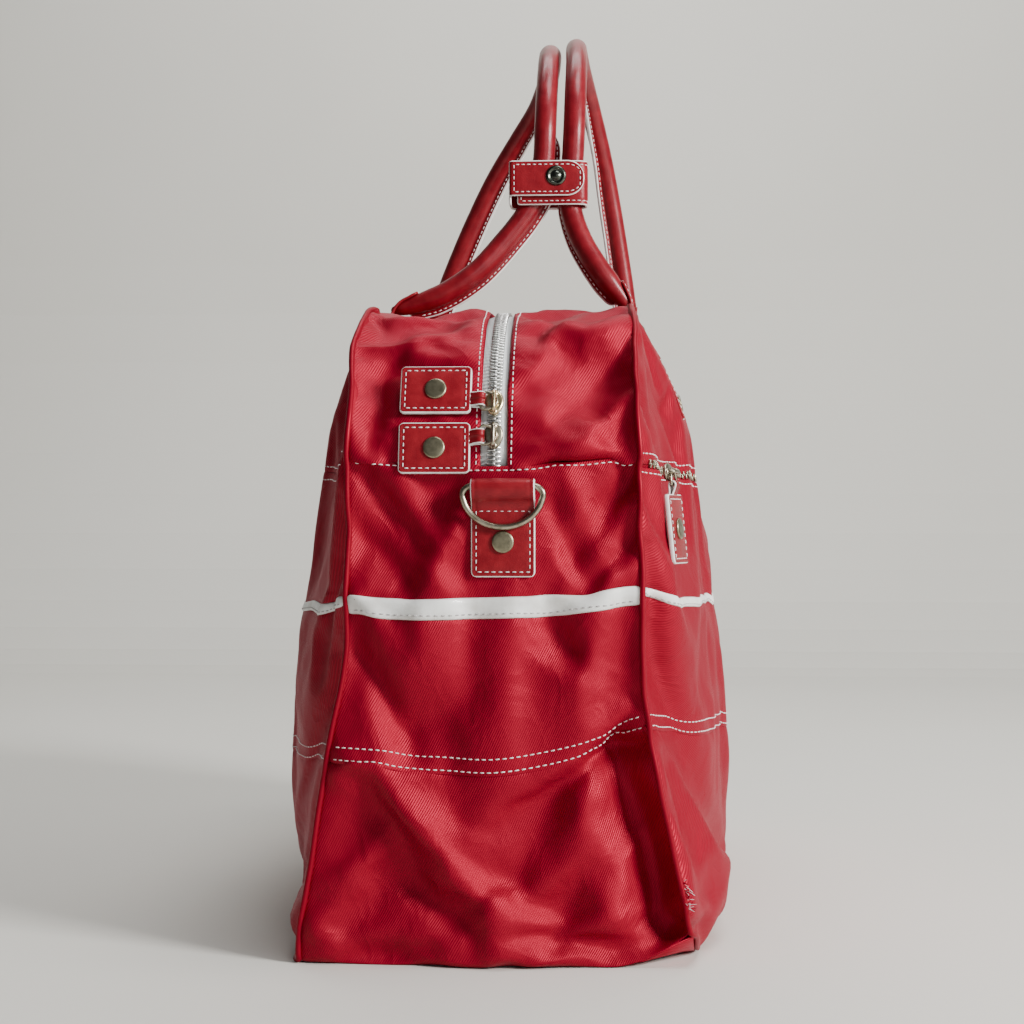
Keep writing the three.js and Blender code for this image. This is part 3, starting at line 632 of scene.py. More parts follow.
TWILL = twill_material((0.35, 0.006, 0.027), (0.22, 0.0035, 0.015))
LEATHER = leather_material("red_leather", (0.17, 0.005, 0.011), (0.25, 0.011, 0.018), 0.06)
HANDLE_LEATHER = leather_material("handle_leather", (0.15, 0.004, 0.010), (0.22, 0.009, 0.016), 0.3)
WHITE = white_edge_material()
THREAD = thread_material("white_thread", (0.72, 0.58, 0.58), (0.84, 0.80, 0.80))
GREY_THREAD = thread_material("grey_thread", (0.36, 0.34, 0.34), (0.50, 0.48, 0.48))
TAPE = tape_material()
NICKEL = metal_material("aged_nickel", (0.42, 0.38, 0.29), (0.22, 0.20, 0.14), 0.22, 0.40)
GUNMETAL = metal_material("dull_rivet", (0.34, 0.31, 0.21), (0.20, 0.18, 0.12), 0.30, 0.42)
DARK_METAL = metal_material("dark_snap", (0.10, 0.11, 0.09), (0.05, 0.055, 0.045), 0.18, 0.34)
SILVER = metal_material("zip_silver", (0.82, 0.82, 0.80), (0.55, 0.55, 0.53), 0.22, 0.35)
BRASSY = metal_material("pale_gilt", (0.78, 0.66, 0.40), (0.42, 0.36, 0.22), 0.20, 0.38)

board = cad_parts["base_board"].data
board.materials.clear()
board.materials.append(board_material())


def finish_piece(obj, body, materials, replaces=()):
    """Gives a piece its materials and its body, and hides its CAD nodes; given a bend between two bodies, it
    only bakes the transform.
    """
    for material in materials:
        obj.data.materials.append(material)
    if isinstance(body, tuple):
        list(body)
        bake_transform(obj)
    else:
        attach(obj, body)
    if replaces:
        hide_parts(*replaces)


# ---- Fabric pieces cut from the shell ----
def weave_map(mesh, uv):
    layer = mesh.uv_layers.new(name="weave")
    for loop in mesh.loops:
        layer.data[loop.index].uv = uv[loop.vertex_index]


def sheet_object(name, points, normals, uv, lift, thickness):
    """A grid of points as a sheet: its outer face along the normals, its thickness inwards."""
    rows, columns = points.shape[:2]
    index = np.arange(rows * columns).reshape(rows, columns)
    flat = (points + normals * lift).reshape(-1, 3) * MM
    mesh = mesh_from(name, flat, grid_faces(index, False))
    weave_map(mesh, uv.reshape(-1, 2))
    outward = normals.reshape(-1, 3)
    if np.mean([np.dot(p.normal, outward[p.vertices[0]]) for p in mesh.polygons]) < 0:
        mesh.flip_normals()
    obj = add_object(name, mesh)
    solid = obj.modifiers.new("thickness", "SOLIDIFY")
    solid.thickness = thickness * MM
    solid.offset = -1
    return obj


shell_normals = normals_of(shell.points, shell.faces())
surface_pieces = []
TUCK = 3.2
TUCK_DEPTH = 1.5


def tucked(points, normals, uv, end):
    """The grid with one more row past its first or last one, slipped under its neighbour."""
    edge, inner = (0, 1) if end == 0 else (-1, -2)
    row = points[edge] + unit(points[edge] - points[inner]) * TUCK - normals[edge] * TUCK_DEPTH
    places = uv[edge] + (uv[edge] - uv[inner]) * 0.4
    grids = []
    for grid, extra in ((points, row), (normals, normals[edge]), (uv, places)):
        parts = [extra[None], grid] if end == 0 else [grid, extra[None]]
        grids.append(np.concatenate(parts, 0))
    return grids


CLOTH_THICKNESS = 1.1


def cut_panel(kind, node, key, rows, columns=None, lift=0.0, thickness=CLOTH_THICKNESS, tucks=(),
              fold=None):
    """One panel for a CAD node: a block of a grid, thickened inward and subdivided.

    fold is the column that turns down beside the zip."""
    first, last = columns or (0, shell.index[key].shape[1] - 1)
    index = shell.index[key][rows[0]:rows[1] + 1, first:last + 1]
    points, normals = shell.points[index], shell_normals[index]
    if key == "strip":
        along, sideways = STATION_S, points[..., 0]
    else:
        along, sideways = ROW_S, points[..., 1] * key
    along = np.repeat(along[rows[0]:rows[1] + 1, None], index.shape[1], 1)
    uv = np.stack([sideways, along], -1)
    if fold is not None:
        points[:, fold, 0] = np.sign(points[:, fold, 0]) * ZIP_OPENING_X
    for end in tucks:
        points, normals, uv = tucked(points, normals, uv, end)
    obj = sheet_object(f"{kind}_{node}", points, normals, uv, lift, thickness)
    smooth = obj.modifiers.new("smooth", "SUBSURF")
    smooth.levels = smooth.render_levels = 1
    finish_piece(obj, "bag", [WHITE if kind == "trim" else TWILL], [node])
    surface_pieces.append(obj)


def row_at(z):
    return int(np.argmin(np.abs(ROW_S - z)))


LAST_STATION = len(STATIONS) - 1
ACROSS_LAST = 2 * HALF_ACROSS
SIDE_NAMES = {-1: "left", 1: "right"}
SIDE_BAND_SIZES = {"lift": 0.7, "thickness": 1.8}
END_BAND_SIZES = {"lift": 0.9, "thickness": 2.0}
ZIP_PANEL_SIZES = {"lift": 0.2, "thickness": 1.6}


def side_panels(sign, side):
    pocket_top = POCKET_Z if sign > 0 else WALL_HEIGHT
    cuts = [("lower", 0, DOUBLE_SEAM_Z, [1]), ("middle", DOUBLE_SEAM_Z, SIDE_BAND_Z[0], [1]),
            ("pocket", SIDE_BAND_Z[1], pocket_top, [0]), ("upper", WALL_HEIGHT, ROW_S[-1], [0])]
    for part, low, high, tucks in cuts:
        cut_panel("fabric", f"side_{side}_{part}", sign, (row_at(low), row_at(high)), tucks=tucks)
    band = (row_at(SIDE_BAND_Z[0]), row_at(SIDE_BAND_Z[1]))
    cut_panel("trim", f"side_{side}_white_band", sign, band, **SIDE_BAND_SIZES)


def end_rows(place, low, high):
    """Rows between two heights: the near end counts them up the strip, the far end down it."""
    low, high = row_at(low), row_at(high)
    return (low, high) if place == "near" else (LAST_STATION - high, LAST_STATION - low)


def end_panels(place):
    for part, low, high, tuck in (("lower", 0, DOUBLE_SEAM_Z, 1), ("middle", DOUBLE_SEAM_Z, END_BAND_Z[0], 1),
                                  ("upper", END_BAND_Z[1], WALL_HEIGHT, 0)):
        cut_panel("fabric", f"end_{place}_{part}", "strip", end_rows(place, low, high),
                  tucks=[tuck if place == "near" else 1 - tuck])
    cut_panel("trim", f"end_{place}_white_band", "strip", end_rows(place, *END_BAND_Z), **END_BAND_SIZES)


for sign, side in SIDE_NAMES.items():
    side_panels(sign, side)
cut_panel("tape", "pocket_zip", 1, (row_at(POCKET_Z), row_at(WALL_HEIGHT)), lift=-1.0, thickness=0.6,
          tucks=[0, 1])
for place in ("near", "far"):
    end_panels(place)
top_rows = (row_at(WALL_HEIGHT), LAST_STATION - row_at(WALL_HEIGHT))
cut_panel("fabric", "zip_top_left", "strip", top_rows, (0, HALF_ACROSS - 1), tucks=[0, 1], fold=-1,
          **ZIP_PANEL_SIZES)
cut_panel("fabric", "zip_top_right", "strip", top_rows, (HALF_ACROSS + 1, ACROSS_LAST), tucks=[0, 1],
          fold=0, **ZIP_PANEL_SIZES)


def base_piece():
    """The base: a sheet under the board, lifted at its corners."""
    inset = 1.5
    u = np.linspace(-1, 1, 25)[:, None]
    v = np.linspace(-1, 1, 9)[None, :]
    x = v * (side_x(np.abs(u), 0.0) - inset)
    y = np.repeat(u * (HALF_LENGTH - inset), v.size, 1)
    points = np.stack([x, y, corner_lift(x, y)], -1)
    normals = np.zeros_like(points)
    normals[..., 2] = -1
    obj = sheet_object("fabric_base_panel", points, normals, np.stack([x, y], -1), 0, CLOTH_THICKNESS)
    finish_piece(obj, "bag", [TWILL], ["base_panel"])


base_piece()


# ---- Building blocks for the trimmings ----
class Batch:
    """Gathers the shapes of one mesh, in mm, with a material number for each face."""

    def __init__(self):
        self.vertices = []
        self.faces = []
        self.slots = []

    def add(self, vertices, faces, slots=0):
        start = len(self.vertices)
        self.vertices.extend(np.asarray(vertices, float).reshape(-1, 3))
        self.faces.extend([[start + i for i in face] for face in faces])
        self.slots.extend(slots if isinstance(slots, list) else [slots] * len(faces))

    def rings(self, rings, closed=False, capped=True, slot=0):
        """A skin over rings of equally many points."""
        rings = np.asarray(rings, float)
        count, sides = rings.shape[:2]
        faces = []
        for r in range(count if closed else count - 1):
            a, b = r * sides, (r + 1) % count * sides
            for k in range(sides):
                n = (k + 1) % sides
                faces.append([a + k, a + n, b + n, b + k])
        if capped and not closed:
            faces.append(list(range(sides))[::-1])
            faces.append(list(range((count - 1) * sides, count * sides)))
        self.add(rings, faces, slot)

    def lathe(self, centre, axis, profile, sides=32, slot=0):
        """A turned shape: profile holds (radius, height) pairs from the foot to the top."""
        axis = unit(axis)
        u = unit(np.cross(axis, (0.3, 0.5, 0.8)))
        v = np.cross(axis, u)
        angles = np.linspace(0, 2 * math.pi, sides, endpoint=False)
        circle = np.cos(angles)[:, None] * u + np.sin(angles)[:, None] * v
        self.rings([np.asarray(centre) + axis * h + circle * r for r, h in profile], slot=slot)

    def build(self, name, body, materials, replaces=()):
        mesh = mesh_from(name, np.array(self.vertices) * MM, self.faces)
        mesh.polygons.foreach_set("material_index", self.slots)
        finish_piece(add_object(name, mesh), body, materials, replaces)


def spline(points, count, closed=False):
    """Centripetal Catmull-Rom through the points, at equal steps along it."""
    p = np.asarray(points, float)
    p = np.vstack([p[-1], p, p[:2]]) if closed else np.vstack([2 * p[0] - p[1], p, 2 * p[-1] - p[-2]])
    out = []
    for i in range(1, len(p) - 2):
        knots = [0.0]
        for a, b in zip(p[i - 1:i + 2], p[i:i + 3]):
            knots.append(knots[-1] + max(np.linalg.norm(b - a) ** 0.5, 1e-6))
        t = np.linspace(knots[1], knots[2], 12, endpoint=False)[:, None]

        def mix(a, b, low, high):
            return ((knots[high] - t) * a + (t - knots[low]) * b) / (knots[high] - knots[low])
        a1, a2, a3 = (mix(p[i - 1 + k], p[i + k], k, k + 1) for k in range(3))
        b1, b2 = mix(a1, a2, 0, 2), mix(a2, a3, 1, 3)
        out.append(mix(b1, b2, 1, 2))
    out = np.vstack(out + [p[-2][None]])
    return resample(out, count, closed)


def resample(path, count, closed=False):
    s = lengths_along(path)
    return read_off(np.linspace(0, s[-1], count, endpoint=not closed), s, path)


def tangents_of(path, closed=False):
    if closed:
        step = np.roll(path, -1, 0) - np.roll(path, 1, 0)
    else:
        step = np.gradient(path, axis=0)
    return unit(step)


def frames_along(path, reference, closed=False):
    """Tangents with two directions across them, carried along without twisting."""
    tangents = tangents_of(path, closed)
    u = unit(np.cross(np.cross(tangents[0], reference), tangents[0]))
    sides = []
    for tangent in tangents:
        u = unit(u - tangent * np.dot(u, tangent))
        sides.append(u)
    sides = np.array(sides)
    return tangents, sides, np.cross(tangents, sides)


def tube(batch, path, radius, sides=12, closed=False, reference=(0.1, 0.2, 1), slot=0, rounded=True):
    """A round bar along a path; an open one gets rounded ends."""
    path = np.asarray(path, float)
    tangents, u, v = frames_along(path, reference, closed)
    radius = np.broadcast_to(radius, (len(path),))
    angles = np.linspace(0, 2 * math.pi, sides, endpoint=False)
    circle = np.cos(angles)[None, :, None] * u[:, None] + np.sin(angles)[None, :, None] * v[:, None]
    rings = path[:, None] + circle * radius[:, None, None]
    if rounded and not closed:
        def end(k, way):
            return [path[k] + tangents[k] * way * radius[k] * rise + circle[k] * radius[k] * share
                    for share, rise in ((0.87, 0.5), (0.5, 0.87), (0.1, 1.0))]
        rings = np.array(end(0, -1)[::-1] + list(rings) + end(-1, 1))
    batch.rings(rings, closed, slot=slot)


class Strap:
    """A strip of leather with painted edges: s runs along it, v across it, h up from its back."""

    def __init__(self, path, across, width, thickness, corners=(3.0, 3.0), flip=False, puff=0.25):
        self.path = np.asarray(path, float)
        self.s = lengths_along(self.path)
        self.length = self.s[-1]
        across = np.broadcast_to(np.asarray(across, float), self.path.shape)
        tangents = tangents_of(self.path)
        self.across = unit(across - tangents * np.sum(across * tangents, 1, keepdims=True))
        self.up = np.cross(tangents, self.across) * (-1 if flip else 1)
        self.width = np.asarray(width, float) if np.ndim(width) else width
        self.thickness = thickness
        self.corners = corners
        self.puff = puff

    def half(self, s):
        share = s / self.length
        width = self.width
        if np.ndim(width):
            width = np.interp(share, np.linspace(0, 1, len(self.width)), self.width)
        cut = 0.0
        for radius, reach in zip(self.corners, (s, self.length - s)):
            if reach < radius:
                cut = max(cut, radius - math.sqrt(max(radius**2 - (radius - reach) ** 2, 0)))
        return width / 2 - cut

    def frame(self, s):
        point, across, up = (read_off(s, self.s, rows) for rows in (self.path, self.across, self.up))
        return point, unit(across), unit(up)

    def place(self, s, v, h):
        point, across, up = self.frame(s)
        return point + across * v + up * h

    def top(self, inset):
        """Height of the upper face at a distance from the nearest edge."""
        t = self.thickness
        return float(np.interp(inset, [0, 0.3, 0.8, 1.5, 2.1, 2.8, 6.0],
                               [0.7 * t, t - 0.12, t, t, t - 0.22, t, t + self.puff]))

    def skin(self, batch, step=1.6, leather=0, paint=1, paint_width=0.55, sides_painted=True):
        inner = list(np.arange(3.0, self.length - 3.0, step))
        rims = (0.0, 0.25, paint_width, 1.5, 2.1)
        stations = sorted({*rims, *inner, *(self.length - d for d in rims)})
        insets = [0.0, 0.25, paint_width, 1.5, 2.1, 2.8, 4.5]
        rings = []
        for s in stations:
            half = max(self.half(s), 0.4)
            end = min(s, self.length - s)
            near = [min(i, half) for i in insets]
            left = [(-half + i, self.top(min(i, end))) for i in near]
            across = left + [(0.0, self.top(min(half, end)))] + [(-v, h) for v, h in reversed(left)]
            low = 0.25 * self.thickness
            rim = min(0.9, half * 0.9)
            back = [(half, low), (half - 0.25, 0.0), (half - rim, 0.0), (0.0, 0.0),
                    (rim - half, 0.0), (0.25 - half, 0.0), (-half, low)]
            rings.append([self.place(s, v, h) for v, h in across + back])
        rings = np.array(rings)
        count, sides = rings.shape[:2]
        faces, slots = [], []
        columns = len(insets) * 2 + 1
        for r in range(count - 1):
            end = min(stations[r + 1], self.length - stations[r])
            for k in range(sides):
                n = (k + 1) % sides
                faces.append([r * sides + k, r * sides + n, (r + 1) * sides + n, (r + 1) * sides + k])
                painted_end = end <= paint_width + 0.01
                on_side = k < 2 or columns - 4 < k < columns + 2 or k >= sides - 3
                on_back = columns + 2 <= k < sides - 3
                painted = painted_end or (sides_painted and on_side)
                slots.append(paint if painted and not on_back else leather)
        faces.append(list(range(sides))[::-1])
        faces.append(list(range((count - 1) * sides, count * sides)))
        slots += [paint, paint]
        batch.add(rings, faces, slots)

    def outline(self, inset, s1=None):
        """The closed line at an inset from the edges, up to s1 if given, as (point, up) pairs."""
        s1 = s1 or self.length - inset
        stations = np.linspace(inset, s1, max(4, int((s1 - inset) / 0.8)))
        sides = []
        for way in (-1, 1):
            sides.append([(s, way * max(self.half(s) - inset, 0.3)) for s in stations])
        loop = sides[0] + sides[1][::-1]
        loop.append(loop[0])
        height = self.top(inset)
        return [(self.place(s, v, height), self.frame(s)[2]) for s, v in loop]

    def side_line(self, inset, short):
        """The line at an inset from one edge, stopping short of both ends."""
        s0, s1 = short, self.length - short
        return [(self.place(s, self.half(s) - inset, self.top(inset)), self.frame(s)[2])
                for s in np.linspace(s0, s1, max(4, int(s1 - s0)))]


def strap_facing(faces, share, *shape, **options):
    """A Strap turned so that, at a share of its length, its upper face looks the way of faces(point)."""
    for flip in (False, True):
        strap = Strap(*shape, flip=flip, **options)
        point, _, up = strap.frame(strap.length * share)
        if np.dot(up, faces(point)) > 0:
            break
    return strap


# Stitches: pitch, length and radius of the thread
CLOTH_STITCH = (3.5, 2.4, 0.32)
TRIM_STITCH = (3.4, 2.2, 0.28)
WELT_STITCH = (3.2, 2.2, 0.28)
FINE_STITCH = (3.1, 2.1, 0.27)


def stitch(batch, line, size=CLOTH_STITCH):
    """Thread dashes along a line of (point, outward) pairs, each dipping into the cloth at its ends."""
    path = np.array([p for p, n in line])
    normals = np.array([n for p, n in line])
    s = lengths_along(path)
    pitch, length, radius = size
    count = int(s[-1] // pitch)
    pitch = s[-1] / count
    angles = np.linspace(0, 2 * math.pi, 6, endpoint=False)
    for k in range(count):
        middle = (k + 0.5) * pitch
        rings = []
        for share, rise, thick in ((-0.5, -0.9, 0.4), (-0.36, 0.25, 0.95), (0, 0.55, 1),
                                   (0.36, 0.25, 0.95), (0.5, -0.9, 0.4)):
            at = middle + share * length
            point = read_off(at, s, path)
            ahead = read_off(at + 0.1, s, path) - read_off(at - 0.1, s, path)
            normal = unit(read_off(at, s, normals))
            across = unit(np.cross(ahead, normal))
            centre = point + normal * radius * rise
            rings.append([centre + radius * thick * (across * math.cos(a) + normal * math.sin(a))
                          for a in angles])
        batch.rings(rings)


def sewn_strap(names, body, strap, inset, size, replaces=(), s1=None, rivet_at=None, **paint):
    """A leather strap and the thread along its edge, as two pieces on one body.

    s1 is where the thread turns back, if that's short of the end. rivet_at is a share of the length."""
    batch, thread = Batch(), Batch()
    strap.skin(batch, **paint)
    stitch(thread, strap.outline(inset, s1), size)
    materials = [LEATHER, WHITE]
    if rivet_at:
        point, _, up = strap.frame(strap.length * rivet_at)
        batch.lathe(point + up * 1.4, up, SMALL_RIVET, 20, len(materials))
        materials.append(NICKEL)
    batch.build(names[0], body, materials, replaces)
    thread.build(names[1], body, [THREAD])


SMALL_RIVET = [(3.2, 0), (3.2, 0.4), (2.6, 0.9), (1.2, 1.2), (0.2, 1.25)]
RIVET_PROFILE = [(5.5, 0), (5.5, 0.9), (5.35, 1.2), (5.0, 1.42), (4.6, 1.5), (3.0, 1.56), (0.3, 1.6)]


def rivet(node, body, centre, axis):
    batch = Batch()
    batch.lathe(centre, axis, [(r, h - 0.3) for r, h in RIVET_PROFILE])
    batch.build(f"{node}_head", body, [GUNMETAL], [node])


# ---- The finished fabric as a surface to rest things on ----
class Cloth:
    """The cloth pieces with their modifiers applied, ready for finding where a line meets them."""

    def __init__(self, objects):
        graph = bpy.context.evaluated_depsgraph_get()
        points, faces = [], []
        for obj in objects:
            shape = obj.evaluated_get(graph)
            mesh = shape.to_mesh()
            start = len(points)
            points.extend([v.co / MM for v in mesh.vertices])
            faces.extend([[start + i for i in p.vertices] for p in mesh.polygons])
            shape.to_mesh_clear()
        self.tree = BVHTree.FromPolygons(points, faces)

    def drop(self, point, normal, reach):
        """Where a fall against the normal meets the cloth, and the way the cloth faces there."""
        point, normal = Vector(point), Vector(unit(normal))
        hit, facing, _, _ = self.tree.ray_cast(point + normal * reach, -normal, 2 * reach)
        if hit is None:
            return np.array(point), np.array(normal)
        if facing.dot(normal) < 0:
            facing = -facing
        return np.array(hit), np.array(facing)


cloth = Cloth(surface_pieces)


def strip_place(s, x):
    """Point and outward direction of the undisturbed strip at a distance along it."""
    y, z, ny, nz = read_off(s, STATION_S, STATION_TABLE[:, :4])
    return np.array([x, y, z]), unit((0, ny, nz))


def grid_line(key, at, inset=4.0, step=2.0):
    """A line across the settled cloth at one distance up a grid, laid on its outer face."""
    index = shell.index[key]
    heights = STATION_S if key == "strip" else ROW_S
    k = int(np.clip(np.searchsorted(heights, at) - 1, 0, len(heights) - 2))
    t = (at - heights[k]) / (heights[k + 1] - heights[k])
    points = (1 - t) * shell.points[index[k]] + t * shell.points[index[k + 1]]
    normals = (1 - t) * shell_normals[index[k]] + t * shell_normals[index[k + 1]]
    s = lengths_along(points)
    line = []
    for place in np.linspace(inset, s[-1] - inset, int((s[-1] - 2 * inset) / step)):
        line.append(cloth.drop(read_off(place, s, points), read_off(place, s, normals), reach=5.0))
    return line


# ---- Piping ----
PIPING_RADIUS = 1.5
PIPING_FOOT = 2.1       # height of its middle round the base


def piping(sign, side):
    """The corded seam round a long side: up the near end, over the top, down the far end."""
    strip = shell.index["strip"]
    column = 0 if sign < 0 else strip.shape[1] - 1
    seam = shell.points[strip[:, column]] + shell_normals[strip[:, column]] * 0.2
    foot_y = np.linspace(0.97, -0.97, 34) * HALF_LENGTH
    foot_x = sign * side_x(foot_y / HALF_LENGTH, 2.0)
    foot = np.stack([foot_x, foot_y, PIPING_FOOT + corner_lift(foot_x, foot_y)], -1)
    seam[:, 2] = np.maximum(seam[:, 2], PIPING_FOOT)
    path = spline(np.vstack([seam, foot]), 520, closed=True)
    radius = PIPING_RADIUS + 0.12 * soft_noise(path, 9, SEED + 30) + 0.08 * soft_noise(path, 3.5, SEED + 31)
    batch = Batch()
    tube(batch, path, radius, 12, closed=True, reference=(1, 0, 0))
    batch.build(f"piping_{side}_cord", "bag", [TWILL], [f"piping_{side}"])


for sign, side in SIDE_NAMES.items():
    piping(sign, side)


# ---- The zip along the top ----
TOOTH_PITCH = 2.3
ZIP_START = WALL_HEIGHT + 1.0
TAPE_X = (0.6, 2.4, 4.6, 6.6, 8.4)


def zip_tapes():
    stations = np.linspace(ZIP_START - 2, STRIP_LENGTH - ZIP_START + 2, 160)
    for sign, side in SIDE_NAMES.items():
        rows, normals, uv = [], [], []
        for s in stations:
            for x in TAPE_X:
                point, normal = strip_place(s, sign * x)
                dip = 1.5 + 0.2 * math.sin(s / 9) * (x - TAPE_X[0]) / 8 + 0.35 * max(x - 4.6, 0)
                rows.append(point - normal * dip)
                normals.append(normal)
                uv.append((s, x))
        rows, normals, uv = (np.array(v).reshape(len(stations), len(TAPE_X), -1)
                             for v in (rows, normals, uv))
        tape = sheet_object(f"zip_tape_{side}_woven", rows, normals, uv, 0, 0.5)
        finish_piece(tape, "bag", [TAPE], [f"zip_tape_{side}"])


def tooth(batch, centre, along, outward, across, way):
    """One zip tooth: a slim block with a rounded nose over the middle line."""
    outline = [(-3.4, -0.55), (-1.9, -0.8), (-0.5, -0.62), (0.45, -0.72), (0.8, -0.35), (0.8, 0.35),
               (0.45, 0.72), (-0.5, 0.62), (-1.9, 0.8), (-3.4, 0.55)]
    rings = []
    for height, share in ((-0.75, 0.9), (-0.4, 1.0), (0.4, 0.98), (0.8, 0.84), (0.95, 0.6)):
        rings.append([centre + across * way * x * (1 if x < 0 else share) + along * y * share
                      + outward * height for x, y in outline])
    rings = np.array(rings)
    batch.rings(rings if way > 0 else rings[:, ::-1])


def zip_teeth():
    batch = Batch()
    count = int((STRIP_LENGTH - 2 * ZIP_START) / TOOTH_PITCH)
    across = np.array([1.0, 0, 0])
    for k in range(count):
        for way in (-1, 1):
            s = ZIP_START + (k + (0.5 if way > 0 else 0)) * TOOTH_PITCH
            point, normal = strip_place(s, 0)
            along = np.cross(across, normal)
            tooth(batch, point - normal * 0.5, along, normal, across, way)
    batch.build("zip_teeth_chain", "bag", [SILVER], ["zip_teeth"])


def pocket_teeth():
    batch = Batch()
    line = grid_line(1, (POCKET_Z + WALL_HEIGHT) / 2, inset=14.0, step=2.0)
    for k, (point, normal) in enumerate(line[:-1]):
        along = unit(line[k + 1][0] - point)
        up = unit(np.cross(normal, along))
        tooth(batch, point + normal * 0.2, along, normal, up if k % 2 else -up, 0.62)
    batch.build("pocket_zip_chain", "bag", [NICKEL])


zip_tapes()
zip_teeth()
pocket_teeth()


# ---- Sliders, links and pulls ----
class Place:
    """A frame on a zip: x across it, lift off the cloth, z along it. The pull lies towards -x."""

    def __init__(self, origin, outward, along):
        self.origin = np.array(origin, float)
        self.outward = unit(outward)
        self.along = unit(along)
        self.across = np.cross(-self.outward, self.along)

    def __call__(self, x, lift, z):
        return self.origin + self.across * x + self.outward * lift + self.along * z


def shoulder_place(degrees):
    """The frame on the near shoulder's arc, at an angle up from the end wall."""
    turn = math.radians(degrees)
    outward = np.array([0, -math.cos(turn), math.sin(turn)])
    origin = np.array([0, -TOP_HALF_LENGTH, WALL_HEIGHT]) + SHOULDER_RADIUS * outward
    return Place(origin, outward, (0, math.sin(turn), math.cos(turn)))


def slider(node, place, body, metal):
    """A cast slider: a rounded body, a bridge along it and a boss at each end of the bridge."""
    batch = Batch()
    half_wide, half_long = 5.4, 6.9
    angles = np.linspace(0, 2 * math.pi, 28, endpoint=False)
    rings = []
    for lift, scale in ((0.7, 0.84), (0.85, 0.94), (1.4, 1.0), (2.2, 1.0), (2.75, 0.93),
                        (2.95, 0.80), (2.9, 0.45), (2.9, 0.1)):
        ring = []
        for a in angles:
            z = half_long * math.copysign(abs(math.sin(a)) ** 1.15, math.sin(a))
            x = half_wide * math.copysign(abs(math.cos(a)) ** 0.95, math.cos(a))
            x *= 0.88 + 0.12 * z / half_long
            ring.append(place(x * scale, lift, z * scale))
        rings.append(ring)
    batch.rings(rings)
    bridge = [(1.6, -5.2), (4.2, -5.6), (5.9, -4.6), (6.4, -2.4), (6.4, 2.4), (5.9, 4.4), (4.2, 5.2),
              (1.6, 5.0)]
    tube(batch, spline([place(0, lift, z) for lift, z in bridge], 40), 0.95, 10)
    for z in (-5.0, 4.8):
        batch.lathe(place(0, 2.6, z), place.outward, [(1.9, 0), (1.9, 0.5), (1.5, 0.9), (0.9, 1.2)], 16)
    batch.build(f"{node}_cast", body, [metal], [node])


def d_loop(node, place, body, half_bar, drop, corner, wire, bar_x=0.0, lift=0.0, way=1):
    """A D-shaped ring: the bar at bar_x and its bow towards x."""
    points = [(0, -half_bar + corner), (0, 0), (0, half_bar - corner)]
    for angle in np.linspace(0, math.pi, 15):
        points.append((corner + (drop - corner) * math.sin(angle), half_bar * math.cos(angle)))
    path = spline([place(bar_x + way * x, lift, z) for x, z in points], 96, closed=True)
    batch = Batch()
    tube(batch, path, wire, 12, closed=True, reference=place.outward)
    batch.build(f"{node}_wire", body, [NICKEL], [node])


LINK_BAR = (-6.6, 4.2)  # across from the zip's middle line, and up
PULL_LENGTH = 36
PULL_WIDTH = 26
NECK_WIDTH = 7.6


def pull_set(slider_node, link_node, pull_node, rivet_node, place, shift, bodies, metal):
    """A slider with its wire link and its leather pull, which is shifted along the zip."""
    slider(slider_node, place, bodies[0], metal)
    d_loop(link_node, place, bodies[1], 4.8, 8.1, 1.4, 0.75, *LINK_BAR)
    batch, thread = Batch(), Batch()
    path = [place(x, 1.9, shift) for x in np.linspace(-11.6 - PULL_LENGTH, -11.6, 25)]
    plate = strap_facing(lambda point: place.outward, 0.2, path, place.along, PULL_WIDTH, 2.5, (2.6, 2.6))
    plate.skin(batch)
    stitch(thread, plate.outline(2.6), TRIM_STITCH)
    loop = [(-14.5, 3.25), (-12.0, 3.3), (-9.6, 4.4)]
    loop += [(LINK_BAR[0] + 1.35 * math.cos(a), LINK_BAR[1] + 1.35 * math.sin(a))
             for a in np.radians([100, 60, 20, -20, -60, -100])]
    loop += [(-9.6, 2.9), (-12.0, 2.6), (-14.5, 2.6)]
    path = spline([place(x, lift, shift * 0.12 + shift * 0.25 * np.clip(-(x + 9) / 8, 0, 1))
                   for x, lift in loop], 44)
    neck = strap_facing(lambda point: point - place(*LINK_BAR, 0), 0.55, path, place.along, NECK_WIDTH,
                        1.05, (1.0, 1.0), puff=0.0)
    neck.skin(batch, step=0.7, paint_width=0.5)
    batch.build(f"{pull_node}_leather", bodies[1], [LEATHER, WHITE], [pull_node])
    thread.build(f"{pull_node}_stitches", bodies[1], [THREAD])
    rivet(rivet_node, bodies[1], place(-29.6, 4.6, shift), place.outward)


for level, degrees, shift, metal in (("upper", 22, 6.5, BRASSY), ("lower", 10.5, -6.5, NICKEL)):
    pull_set(f"zip_slider_{level}", f"zip_link_{level}", f"zip_pull_{level}", f"zip_pull_{level}_rivet",
             shoulder_place(degrees), shift, (f"{level}_slider", f"{level}_pull"), metal)

POCKET_ZIP_Y = -186.0
POCKET_ZIP_Z = 247.5


def pocket_place():
    """The frame on the right side where the pocket's slider rests."""
    def at(share, z):
        return np.array([side_x(share, z), share * (end_y(z) - SEAM_INSET), z])

    share = POCKET_ZIP_Y / (end_y(POCKET_ZIP_Z) - SEAM_INSET)
    step = 0.01
    along = unit(at(share + step, POCKET_ZIP_Z) - at(share - step, POCKET_ZIP_Z))
    up = at(share, POCKET_ZIP_Z + 0.5) - at(share, POCKET_ZIP_Z - 0.5)
    outward = unit(np.cross(along, up))
    return Place(at(share, POCKET_ZIP_Z), outward, -along)


pull_set("pocket_slider", "pocket_link", "pocket_pull", "pocket_pull_rivet", pocket_place(), 0.0,
         ("side_slider", "side_pull"), NICKEL)


